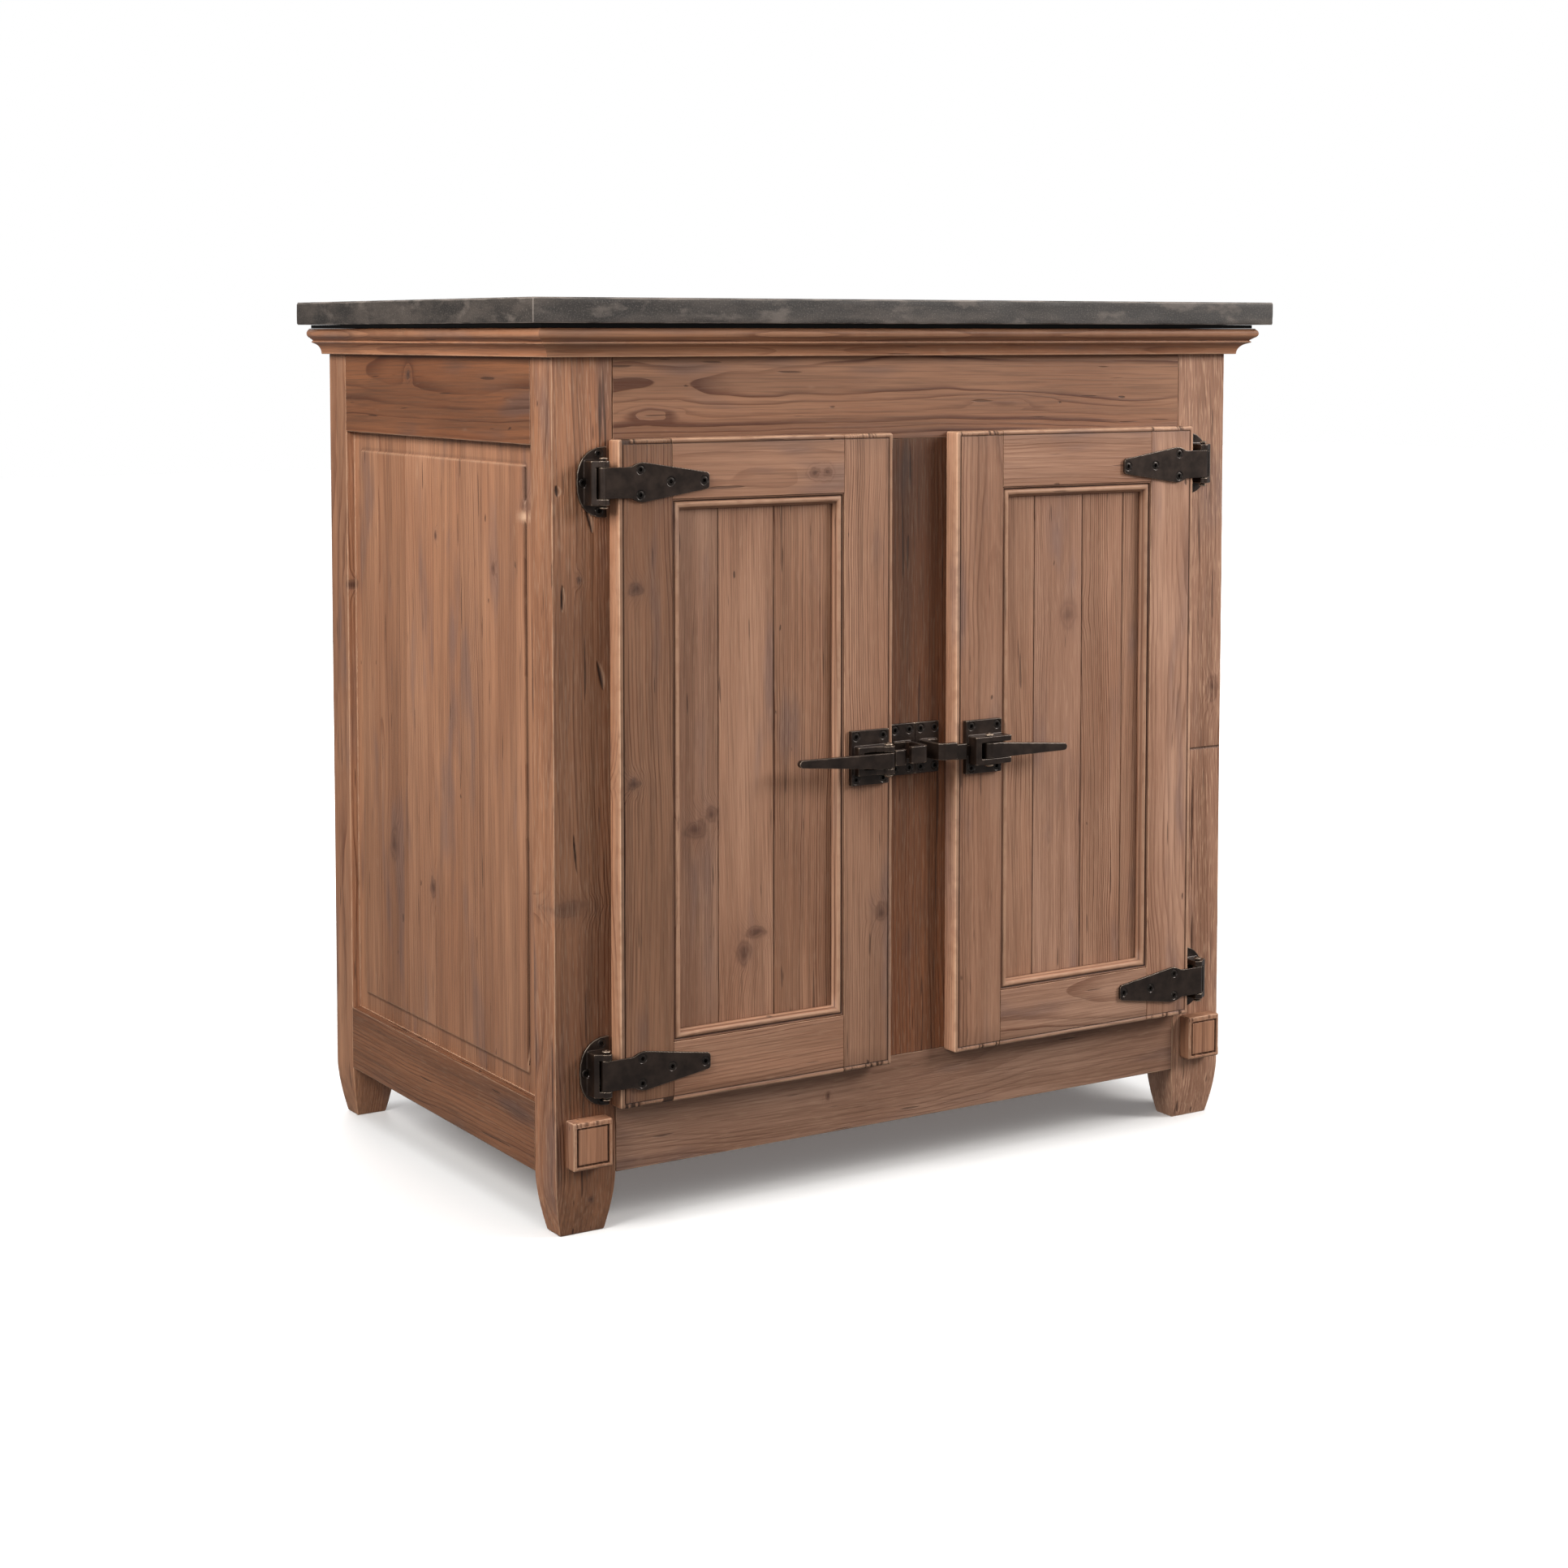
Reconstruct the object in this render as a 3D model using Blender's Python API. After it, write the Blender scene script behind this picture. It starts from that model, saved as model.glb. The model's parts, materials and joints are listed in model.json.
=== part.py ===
"""Two-door icebox-style cabinet: pine frame and panels, stone top, bronze strap hinges and lever latches.

Metres, +Z up. The front faces -Y, the object stands on z = 0, and x = y = 0 is the middle of its box.
"""

import math

import bmesh
import bpy
from mathutils import Vector

# ---- driving dimensions -------------------------------------------------------------------------
GAP = 0.0003  # between pieces that touch
ARRIS = 0.0008  # small chamfer on sawn wood

BODY_WIDTH = 0.838
BODY_DEPTH = 0.537
FRONT = -0.2475  # front faces of the posts
BACK = FRONT + BODY_DEPTH
HALF = BODY_WIDTH / 2

RAIL_BOTTOM = 0.058  # underside of the bottom rails
BOTTOM_RAIL_TOP = 0.127
TOP_RAIL_BOTTOM = 0.7705
POST_TOP = 0.8832
RAIL_THICK = 0.022

FRONT_POST_WIDTH = 0.0662
BACK_POST_WIDTH = 0.052
POST_DEPTH = 0.045
FOOT_TAPER = 0.009  # how far each face of a foot leans in at the floor
FOOT_CURVE = 1.6
FOOT_RINGS = 6

CROWN_BOTTOM = 0.8553
CROWN_REACH = 0.0265
SUB_TOP_REACH = 0.021
SUB_TOP_BOTTOM = 0.8835
STONE_BOTTOM = 0.8875
STONE_TOP = 0.912
STONE_WIDTH = 0.914
STONE_FRONT = FRONT - 0.0375
STONE_BACK = 0.291
STONE_ARRIS = 0.0015

STILE_HALF = 0.050  # half of the centre stile's width
PANEL_RECESS = 0.0085
PANEL_THICK = 0.010
FIELD_MARGIN = 0.020
FIELD_RISE = 0.0018

FLOOR_TOP = 0.123
BOARD_THICK = 0.018
SHELF_TOP = 0.468
BACK_PANEL_FRONT = BACK - 0.020

DOOR_INNER = 0.040  # free edge, from the centre plane
DOOR_OUTER = 0.358  # hinge edge
DOOR_BOTTOM = 0.125
DOOR_TOP = 0.777
DOOR_BACK = FRONT - 0.0008
DOOR_FRONT = FRONT - 0.021
DOOR_STILE = 0.059
DOOR_PANEL_RECESS = 0.009
DOOR_PANEL_THICK = 0.008
BEAD_WIDTH = 0.0105

PIN_X = 0.373  # hinge pin, from the centre plane
PIN_Y = FRONT - 0.0187
PIN_RADIUS = 0.0025
PIN_BORE = 0.0026
LUG_BORE = 0.00265
HINGE_HEIGHTS = {"top": 0.7354, "bottom": 0.1612}
STRAP_FRONT = FRONT - 0.0242
STRAP_BACK = DOOR_FRONT - 0.0002
KNUCKLE_RADIUS = 0.0055
KNUCKLE_HALF = 0.0149
LUG_INNER = 0.0153
LUG_OUTER = 0.0214
PLATE_HALF = 0.0344
PLATE_THICK = 0.003
SIDES = 24  # facets round a pin or knuckle

LATCH_MID = 0.448
LATCH_HALF = 0.028
LATCH_INNER = 0.0488
LATCH_OUTER = 0.0942
LATCH_THICK = 0.006
EAR_TOP = 0.460
EAR_THICK = 0.006
EAR_BOTTOM = 0.431
LEVER_AXIS_OUT = 0.016  # lever pivot, in front of the door face
LEVER_BARREL = 0.0065
LEVER_LOW = 0.4374
LEVER_HIGH = 0.4532
LEVER_TIP_HEIGHT = 0.0078
LEVER_LEAN = 0.045  # how far the lever leans towards the door per unit of its length
LEVER_THICK = 0.0062
LATCH_PIN_RADIUS = 0.0022
LATCH_PIN_BORE = 0.0023
LEFT_PIVOT_X = -0.056
RIGHT_PIVOT_X = 0.071
LEFT_TIP_X = -0.1635
RIGHT_TIP_X = 0.1725
BOLT_TIP = 0.0298
BOLT_NOSE_END = 0.0450
BOLT_LOW = 0.4375
BOLT_HIGH = 0.4537
SLIDE_LOW = 0.4402
SLIDE_HIGH = 0.4510

STRIKE_WIDTH = 0.030
STRIKE_HALF = 0.0268
STRIKE_MID = 0.4488
STRIKE_THICK = 0.004
HOOK_REACH = 0.040  # front of the hook, ahead of the posts
HOOK_TIP = 0.029
HOOK_LOW = 0.4395
HOOK_HIGH = 0.4570

PLINTH_WIDTH = 0.0434
PLINTH_LOW = 0.070
PLINTH_HIGH = 0.1206
PLINTH_THICK = 0.016
PLINTH_X = 0.386

PINE = (0.46, 0.29, 0.17)
PINE_RED = (0.36, 0.20, 0.12)
PINE_GREY = (0.40, 0.28, 0.19)
BRONZE = (0.10, 0.085, 0.07)
STONE = (0.11, 0.105, 0.10)


# ---- helpers ------------------------------------------------------------------------------------
def clear_scene():
    for old in list(bpy.data.objects):
        bpy.data.objects.remove(old, do_unlink=True)


def material(name, colour, roughness=0.6, metallic=0.0):
    made = bpy.data.materials.new(name)
    made.use_nodes = True
    shader = made.node_tree.nodes["Principled BSDF"]
    shader.inputs["Base Color"].default_value = (*colour, 1.0)
    shader.inputs["Roughness"].default_value = roughness
    shader.inputs["Metallic"].default_value = metallic
    made.diffuse_color = (*colour, 1.0)
    return made


def axis_empty(name, x, y, z):
    """An empty on a joint's axis; the moving pieces hang on it."""
    empty = bpy.data.objects.new(name, None)
    empty.location = (x, y, z)
    bpy.context.scene.collection.objects.link(empty)
    return empty


def add_object(name, shape, colour, parent=None, roughness=0.6, metallic=0.0):
    """Turns a bmesh in world coordinates into an object whose origin is the middle of its own box."""
    bmesh.ops.remove_doubles(shape, verts=shape.verts, dist=1e-6)
    bmesh.ops.recalc_face_normals(shape, faces=shape.faces)
    low = Vector([min(v.co[i] for v in shape.verts) for i in range(3)])
    high = Vector([max(v.co[i] for v in shape.verts) for i in range(3)])
    centre = (low + high) / 2
    bmesh.ops.translate(shape, verts=shape.verts, vec=-centre)
    mesh = bpy.data.meshes.new(name)
    shape.to_mesh(mesh)
    shape.free()
    made = bpy.data.objects.new(name, mesh)
    bpy.context.scene.collection.objects.link(made)
    made.location = centre
    if parent is not None:
        made.parent = parent
        made.location = centre - parent.location
    if colour is not None:
        mesh.materials.append(material(name, colour, roughness, metallic))
    return made


def box_shape(low, high):
    shape = bmesh.new()
    bmesh.ops.create_cube(shape, size=1.0)
    for v in shape.verts:
        for i in range(3):
            v.co[i] = low[i] if v.co[i] < 0 else high[i]
    return shape


def chamfer(target, width):
    cut = target.modifiers.new("arris", "BEVEL")
    cut.width = width
    cut.segments = 1
    cut.limit_method = "ANGLE"


def wood_box(name, low, high, colour=PINE, parent=None):
    """A sawn board between two corners, given in any order."""
    corners = [(min(a, b), max(a, b)) for a, b in zip(low, high)]
    shape = box_shape([c[0] for c in corners], [c[1] for c in corners])
    board = add_object(name, shape, colour, parent)
    chamfer(board, ARRIS)
    return board


def prism_shape(outline, along, low, high):
    """A closed outline pushed along one axis ("x", "y" or "z") from low to high.

    The outline holds the two other coordinates in x, y, z order.
    """
    place = {
        "x": lambda a, b, t: (t, a, b),
        "y": lambda a, b, t: (a, t, b),
        "z": lambda a, b, t: (a, b, t),
    }[along]
    shape = bmesh.new()
    rings = [[shape.verts.new(place(a, b, t)) for a, b in outline] for t in (low, high)]
    shape.faces.new(rings[0])
    shape.faces.new(rings[1])
    count = len(outline)
    for i in range(count):
        j = (i + 1) % count
        shape.faces.new((rings[0][i], rings[0][j], rings[1][j], rings[1][i]))
    return shape


def arc(cx, cy, radius, start, end, steps):
    """Points on a circle from one angle to another, in degrees."""
    points = []
    for i in range(steps + 1):
        angle = math.radians(start + (end - start) * i / steps)
        points.append((cx + radius * math.cos(angle), cy + radius * math.sin(angle)))
    return points


def circle(cx, cy, radius, sides=SIDES):
    return arc(cx, cy, radius, 0, 360 * (sides - 1) / sides, sides - 1)


def mirrored(side, points):
    return [(side * a, b) for a, b in points]


def combine(target, other, operation):
    """Joins or cuts with another object, which stays as a wire guide."""
    other.hide_render = True
    other.display_type = "WIRE"
    step = target.modifiers.new(other.name, "BOOLEAN")
    step.operation = operation
    step.solver = "EXACT"
    step.object = other


def metal_prism(name, outline, along, low, high, parent=None):
    return add_object(name, prism_shape(outline, along, low, high), BRONZE, parent, 0.38, 1.0)


def guide_prism(name, outline, along, low, high, parent=None):
    return add_object(name, prism_shape(outline, along, low, high), None, parent)


def shade_round(target):
    target.data.shade_smooth()
    target.data.set_sharp_from_angle(angle=math.radians(35))


# ---- carcass ------------------------------------------------------------------------------------
def post(name, x_low, x_high, y_low, y_high):
    """A square post whose foot tapers in a curve below the rails."""
    heights = [RAIL_BOTTOM * i / FOOT_RINGS for i in range(FOOT_RINGS + 1)] + [POST_TOP]
    shape = bmesh.new()
    rings = []
    for z in heights:
        lean = FOOT_TAPER * max(0.0, 1 - z / RAIL_BOTTOM) ** FOOT_CURVE
        corners = (
            (x_low + lean, y_low + lean),
            (x_high - lean, y_low + lean),
            (x_high - lean, y_high - lean),
            (x_low + lean, y_high - lean),
        )
        rings.append([shape.verts.new((x, y, z)) for x, y in corners])
    shape.faces.new(rings[0])
    shape.faces.new(rings[-1])
    for lower, upper in zip(rings, rings[1:]):
        for i in range(4):
            j = (i + 1) % 4
            shape.faces.new((lower[i], lower[j], upper[j], upper[i]))
    add_object(name, shape, PINE_GREY)


def posts():
    for side, word in ((-1, "left"), (1, "right")):
        for row, width in (("front", FRONT_POST_WIDTH), ("back", BACK_POST_WIDTH)):
            edges = sorted((side * HALF, side * (HALF - width)))
            y_low = FRONT if row == "front" else BACK - POST_DEPTH
            post(f"post_{row}_{word}", *edges, y_low, y_low + POST_DEPTH)


def front_frame():
    reach = HALF - FRONT_POST_WIDTH - GAP
    inner = FRONT + RAIL_THICK
    wood_box(
        "front_top_rail", (-reach, FRONT, TOP_RAIL_BOTTOM), (reach, inner, POST_TOP), PINE_GREY
    )
    wood_box(
        "front_bottom_rail", (-reach, FRONT, RAIL_BOTTOM), (reach, inner, BOTTOM_RAIL_TOP), PINE_RED
    )
    low, high = BOTTOM_RAIL_TOP + GAP, TOP_RAIL_BOTTOM - GAP
    wood_box("centre_stile", (-STILE_HALF, FRONT, low), (STILE_HALF, inner, high), PINE_RED)


def side_frame(side, word):
    y_low, y_high = FRONT + POST_DEPTH + GAP, BACK - POST_DEPTH - GAP
    outer, inner = side * HALF, side * (HALF - RAIL_THICK)
    wood_box(
        f"side_top_rail_{word}", (outer, y_low, TOP_RAIL_BOTTOM), (inner, y_high, POST_TOP), PINE_RED
    )
    wood_box(
        f"side_bottom_rail_{word}",
        (outer, y_low, RAIL_BOTTOM),
        (inner, y_high, BOTTOM_RAIL_TOP),
        PINE_RED,
    )
    side_panel(side, word, y_low, y_high)


def side_panel(side, word, y_low, y_high):
    """A flat panel with a slightly raised field, recessed behind the frame."""
    z_low, z_high = BOTTOM_RAIL_TOP + GAP, TOP_RAIL_BOTTOM - GAP
    field = HALF - PANEL_RECESS
    margin_face = field - FIELD_RISE
    inner = margin_face - PANEL_THICK
    loops = (
        (inner, 0.0),
        (margin_face, 0.0),
        (margin_face, FIELD_MARGIN),
        (field, FIELD_MARGIN + FIELD_RISE),
    )
    shape = bmesh.new()
    rings = []
    for out, inset in loops:
        corners = (
            (y_low + inset, z_low + inset),
            (y_high - inset, z_low + inset),
            (y_high - inset, z_high - inset),
            (y_low + inset, z_high - inset),
        )
        rings.append([shape.verts.new((side * out, y, z)) for y, z in corners])
    shape.faces.new(rings[0])
    shape.faces.new(rings[-1])
    for lower, upper in zip(rings, rings[1:]):
        for i in range(4):
            j = (i + 1) % 4
            shape.faces.new((lower[i], lower[j], upper[j], upper[i]))
    add_object(f"side_panel_{word}", shape, PINE)


def back_frame():
    reach = HALF - BACK_POST_WIDTH - GAP
    front = BACK - RAIL_THICK
    wood_box("back_top_rail", (-reach, front, TOP_RAIL_BOTTOM), (reach, BACK, POST_TOP), PINE_RED)
    wood_box(
        "back_bottom_rail", (-reach, front, RAIL_BOTTOM), (reach, BACK, BOTTOM_RAIL_TOP), PINE_RED
    )
    low, high = BOTTOM_RAIL_TOP + GAP, TOP_RAIL_BOTTOM - GAP
    thick = 0.010
    wood_box("back_panel", (-reach, BACK_PANEL_FRONT, low), (reach, BACK_PANEL_FRONT + thick, high))


def notched_board(name, y_low, y_high, top):
    """A board that fills the inside, notched round the four posts."""
    wide = HALF - RAIL_THICK - GAP
    front_in, back_in = HALF - FRONT_POST_WIDTH - GAP, HALF - BACK_POST_WIDTH - GAP
    front_edge = FRONT + POST_DEPTH + GAP
    back_edge = BACK - POST_DEPTH - GAP
    right = [
        (front_in, y_low),
        (front_in, front_edge),
        (wide, front_edge),
        (wide, back_edge),
        (back_in, back_edge),
        (back_in, y_high),
    ]
    outline = right + mirrored(-1, reversed(right))
    add_object(name, prism_shape(outline, "z", top - BOARD_THICK, top), PINE)


def inside_boards():
    notched_board("floor_board", FRONT + RAIL_THICK + GAP, BACK - RAIL_THICK - GAP, FLOOR_TOP)
    notched_board("shelf", FRONT + 0.030, BACK_PANEL_FRONT - GAP, SHELF_TOP)


# ---- top and mouldings --------------------------------------------------------------------------
def crown_profile():
    """The moulding's section as (reach from the carcass, height), from its lower inner corner round."""
    cove = arc(0.0205, CROWN_BOTTOM + 0.0005, 0.0115, 180, 105, 4)
    nose_height = POST_TOP - 0.0052
    nose = arc(CROWN_REACH - 0.0050, nose_height, 0.0050, -70, 60, 5)
    lip = [(0.0205, CROWN_BOTTOM + 0.0135), (0.0192, CROWN_BOTTOM + 0.0150)]
    return [(GAP, CROWN_BOTTOM), (0.009, CROWN_BOTTOM)] + cove + lip + nose + [
        (CROWN_REACH - 0.0030, POST_TOP),
        (GAP, POST_TOP),
    ]


def moulding(name, ends):
    """Sweeps the crown's section between two ends, each a function from (reach, height) to a point."""
    shape = bmesh.new()
    profile = crown_profile()
    rings = [[shape.verts.new(end(out, z)) for out, z in profile] for end in ends]
    shape.faces.new(rings[0])
    shape.faces.new(rings[1])
    for i in range(len(profile)):
        j = (i + 1) % len(profile)
        shape.faces.new((rings[0][i], rings[0][j], rings[1][j], rings[1][i]))
    made = add_object(name, shape, PINE_RED)
    shade_round(made)


def crown():
    mitre = GAP / 2
    moulding(
        "crown_front",
        (
            lambda out, z: (-HALF - out + mitre, FRONT - out, z),
            lambda out, z: (HALF + out - mitre, FRONT - out, z),
        ),
    )
    for side, word in ((-1, "left"), (1, "right")):
        moulding(
            f"crown_{word}",
            (
                lambda out, z, side=side: (side * (HALF + out), FRONT - out + mitre, z),
                lambda out, z, side=side: (side * (HALF + out), BACK, z),
            ),
        )


def tops():
    reach = HALF + SUB_TOP_REACH
    shape = box_shape(
        (-reach, FRONT - SUB_TOP_REACH, SUB_TOP_BOTTOM), (reach, BACK, STONE_BOTTOM - GAP)
    )
    add_object("sub_top", shape, (0.012, 0.012, 0.012), roughness=0.7)
    half = STONE_WIDTH / 2
    shape = box_shape((-half, STONE_FRONT, STONE_BOTTOM), (half, STONE_BACK, STONE_TOP))
    stone = add_object("stone_top", shape, STONE, roughness=0.42)
    chamfer(stone, STONE_ARRIS)


def plinth_block(side, word):
    """A square block with a sunk ring and a raised middle, low on a front post."""
    half = PLINTH_WIDTH / 2
    front = FRONT - PLINTH_THICK
    loops = (
        (FRONT - GAP, 0.0),
        (front + 0.0012, 0.0),
        (front, 0.0012),
        (front, 0.0040),
        (front + 0.0022, 0.0050),
        (front + 0.0022, 0.0068),
        (front + 0.0004, 0.0092),
    )
    shape = bmesh.new()
    rings = []
    for y, inset in loops:
        x, low, high = half - inset, PLINTH_LOW + inset, PLINTH_HIGH - inset
        corners = ((-x, low), (x, low), (x, high), (-x, high))
        rings.append([shape.verts.new((side * PLINTH_X + a, y, z)) for a, z in corners])
    shape.faces.new(rings[0])
    shape.faces.new(rings[-1])
    for lower, upper in zip(rings, rings[1:]):
        for i in range(4):
            j = (i + 1) % 4
            shape.faces.new((lower[i], lower[j], upper[j], upper[i]))
    add_object(f"plinth_block_{word}", shape, PINE)


# ---- hinges -------------------------------------------------------------------------------------
def hinge_plate(side, word, level, z):
    """D-shaped plate on the post, with a rib and two lugs that carry the pin."""
    name = f"hinge_plate_{word}_{level}"
    edge = 0.3613
    reach = 0.0322
    steps = 14
    curve = []
    for i in range(steps + 1):
        angle = math.radians(-90 + 180 * i / steps)
        across = max(0.0, math.cos(angle)) ** 0.85
        along = math.copysign(abs(math.sin(angle)) ** 0.85, math.sin(angle))
        curve.append((edge + reach * across, z + PLATE_HALF * along))
    curve = [(edge, z - PLATE_HALF)] + curve[1:-1] + [(edge, z + PLATE_HALF)]
    plate = metal_prism(
        name, mirrored(side, curve), "y", FRONT - PLATE_THICK, FRONT - GAP
    )
    outer, inner = 0.3855, 0.3663
    rib_face = FRONT - 0.017
    nose = arc(PIN_X, PIN_Y, 0.0060, -20, -150, 6)
    lug = [(outer, FRONT - 0.002), (outer, rib_face)] + nose + [(inner, FRONT - 0.002)]
    bracket = guide_prism(
        f"cut_{name}_bracket", mirrored(side, lug), "z", z - LUG_OUTER, z + LUG_OUTER
    )
    rib_inner = 0.3810
    mouth = [(rib_inner, FRONT - 0.0035), (rib_inner, -1), (0.350, -1), (0.350, FRONT - 0.0035)]
    gap = guide_prism(f"cut_{name}_mouth", mirrored(side, mouth), "z", z - LUG_INNER, z + LUG_INNER)
    combine(bracket, gap, "DIFFERENCE")
    combine(plate, bracket, "UNION")
    bore = guide_prism(
        f"cut_{name}_bore", circle(side * PIN_X, PIN_Y, LUG_BORE), "z", z - 0.05, z + 0.05
    )
    combine(plate, bore, "DIFFERENCE")
    shade_round(plate)
    pin = metal_prism(
        f"hinge_pin_{word}_{level}",
        circle(side * PIN_X, PIN_Y, PIN_RADIUS),
        "z",
        z - LUG_OUTER - 0.0022,
        z + LUG_OUTER + 0.0022,
    )
    shade_round(pin)


def hinge_strap(side, word, level, z, parent):
    """Flat tapered strap on the door, with a rolled knuckle round the pin."""
    name = f"{word}_door_strap_{level}"
    neck, wide, tip = 0.0149, 0.0193, 0.0082
    half_outline = [
        (PIN_X, neck),
        (0.3500, neck),
        (0.3445, neck + 0.0007),
        (0.3405, neck + 0.0028),
        (0.3365, wide - 0.0004),
        (0.3320, wide),
        (0.2610, tip),
        (0.2590, tip - 0.0020),
    ]
    outline = [(x, z - h) for x, h in half_outline] + [(x, z + h) for x, h in reversed(half_outline)]
    strap = metal_prism(name, mirrored(side, outline), "y", STRAP_FRONT, STRAP_BACK, parent)
    knuckle = guide_prism(
        f"cut_{name}_knuckle",
        circle(side * PIN_X, PIN_Y, KNUCKLE_RADIUS),
        "z",
        z - KNUCKLE_HALF,
        z + KNUCKLE_HALF,
        parent,
    )
    combine(strap, knuckle, "UNION")
    bore = guide_prism(
        f"cut_{name}_bore", circle(side * PIN_X, PIN_Y, PIN_BORE), "z", z - 0.03, z + 0.03, parent
    )
    combine(strap, bore, "DIFFERENCE")
    shade_round(strap)


# ---- doors --------------------------------------------------------------------------------------
def door_frame(side, word, parent):
    """Two stiles, two rails, a flat panel behind them and a bead round the panel."""
    y_low, y_high = DOOR_FRONT, DOOR_BACK
    edges = {"hinge": DOOR_OUTER, "latch": DOOR_INNER + DOOR_STILE}
    for place, outer in edges.items():
        wood_box(
            f"{word}_door_stile_{place}",
            (side * outer, y_low, DOOR_BOTTOM),
            (side * (outer - DOOR_STILE), y_high, DOOR_TOP),
            PINE,
            parent,
        )
    x_out, x_in = DOOR_OUTER - DOOR_STILE - GAP, DOOR_INNER + DOOR_STILE + GAP
    rails = {"bottom": DOOR_BOTTOM, "top": DOOR_TOP - DOOR_STILE}
    for place, low in rails.items():
        wood_box(
            f"{word}_door_rail_{place}",
            (side * x_out, y_low, low),
            (side * x_in, y_high, low + DOOR_STILE),
            PINE,
            parent,
        )
    z_low, z_high = DOOR_BOTTOM + DOOR_STILE + GAP, DOOR_TOP - DOOR_STILE - GAP
    panel_front = DOOR_FRONT + DOOR_PANEL_RECESS
    wood_box(
        f"{word}_door_panel",
        (side * x_out, panel_front, z_low),
        (side * x_in, panel_front + DOOR_PANEL_THICK, z_high),
        PINE_GREY,
        parent,
    )
    door_bead(side, word, sorted((side * x_in, side * x_out)), (z_low, z_high), parent)


def door_bead(side, word, x_span, z_span, parent):
    """Moulding frame round the panel: a small quirk, then a rounded bead that falls to the panel."""
    base = DOOR_FRONT + DOOR_PANEL_RECESS - GAP
    quirk = DOOR_FRONT + 0.0030
    bead = [
        (0.0, base),
        (0.0, DOOR_FRONT + 0.0012),
        (0.0016, DOOR_FRONT + 0.0012),
        (0.0022, quirk),
        (0.0030, quirk),
        (0.0036, DOOR_FRONT + 0.0012),
        (0.0056, DOOR_FRONT + 0.0006),
        (0.0078, DOOR_FRONT + 0.0018),
        (BEAD_WIDTH, DOOR_FRONT + 0.0050),
        (BEAD_WIDTH, base),
    ]
    shape = bmesh.new()
    rings = []
    for inset, y in bead:
        corners = (
            (x_span[0] + inset, z_span[0] + inset),
            (x_span[1] - inset, z_span[0] + inset),
            (x_span[1] - inset, z_span[1] - inset),
            (x_span[0] + inset, z_span[1] - inset),
        )
        rings.append([shape.verts.new((x, y, z)) for x, z in corners])
    for i in range(len(rings)):
        lower, upper = rings[i], rings[(i + 1) % len(rings)]
        for a in range(4):
            b = (a + 1) % 4
            shape.faces.new((lower[a], lower[b], upper[b], upper[a]))
    add_object(f"{word}_door_bead", shape, PINE, parent)


# ---- latches ------------------------------------------------------------------------------------
def out(distance):
    """The y of a plane this far in front of the doors' faces."""
    return DOOR_FRONT - distance


def latch_case(word, side, bar, ears, pivot_x, parent):
    """Base plate with a bar and two ears; the ears hold the lever's pin."""
    name = f"{word}_latch_case"
    low, high = LATCH_MID - LATCH_HALF, LATCH_MID + LATCH_HALF
    plate_x = sorted((side * LATCH_INNER, side * LATCH_OUTER))
    outline = [(x, z) for x in plate_x for z in (low, high)]
    outline = [outline[0], outline[2], outline[3], outline[1]]
    case = metal_prism(name, outline, "y", out(LATCH_THICK), out(0.0002), parent)
    block = guide_prism(f"cut_{name}_block", ears, "z", EAR_BOTTOM, EAR_TOP, parent)
    middle = [(bar[1], out(LATCH_THICK + 0.0004)), (bar[1], -1), (bar[1] + 0.08, -1)]
    middle.append((bar[1] + 0.08, out(LATCH_THICK + 0.0004)))
    gap = guide_prism(
        f"cut_{name}_gap", middle, "z", EAR_BOTTOM + EAR_THICK, EAR_TOP - EAR_THICK, parent
    )
    combine(block, gap, "DIFFERENCE")
    combine(case, block, "UNION")
    bore = guide_prism(
        f"cut_{name}_bore",
        circle(pivot_x, out(LEVER_AXIS_OUT), LATCH_PIN_BORE),
        "z",
        EAR_BOTTOM - 0.01,
        EAR_TOP + 0.01,
        parent,
    )
    combine(case, bore, "DIFFERENCE")
    window = [(bar[0] - 0.01, out(LATCH_THICK)), (bar[0] - 0.01, out(0.0095))]
    window += [(bar[1] + 0.01, out(0.0095)), (bar[1] + 0.01, out(LATCH_THICK))]
    slot = guide_prism(
        f"cut_{name}_slot", window, "z", SLIDE_LOW - 0.0004, SLIDE_HIGH + 0.0004, parent
    )
    combine(case, slot, "DIFFERENCE")
    shade_round(case)
    pin = metal_prism(
        f"{word}_latch_pin",
        circle(pivot_x, out(LEVER_AXIS_OUT), LATCH_PIN_RADIUS),
        "z",
        EAR_BOTTOM - 0.0012,
        EAR_TOP + 0.0012,
        parent,
    )
    shade_round(pin)


def left_ears():
    lobe = arc(LEFT_PIVOT_X, out(LEVER_AXIS_OUT - 0.001), 0.0072, 200, 350, 7)
    return [(-0.0910, out(0.0058)), (-0.0910, out(0.014)), (-0.0700, out(0.014))] + lobe + [
        (-0.0465, out(0.0058))
    ]


def right_ears():
    return [
        (0.0512, out(0.0058)),
        (0.0512, out(0.0200)),
        (0.0525, out(0.0212)),
        (0.0955, out(0.0212)),
        (0.0970, out(0.0195)),
        (0.0970, out(0.0058)),
    ]


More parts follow.
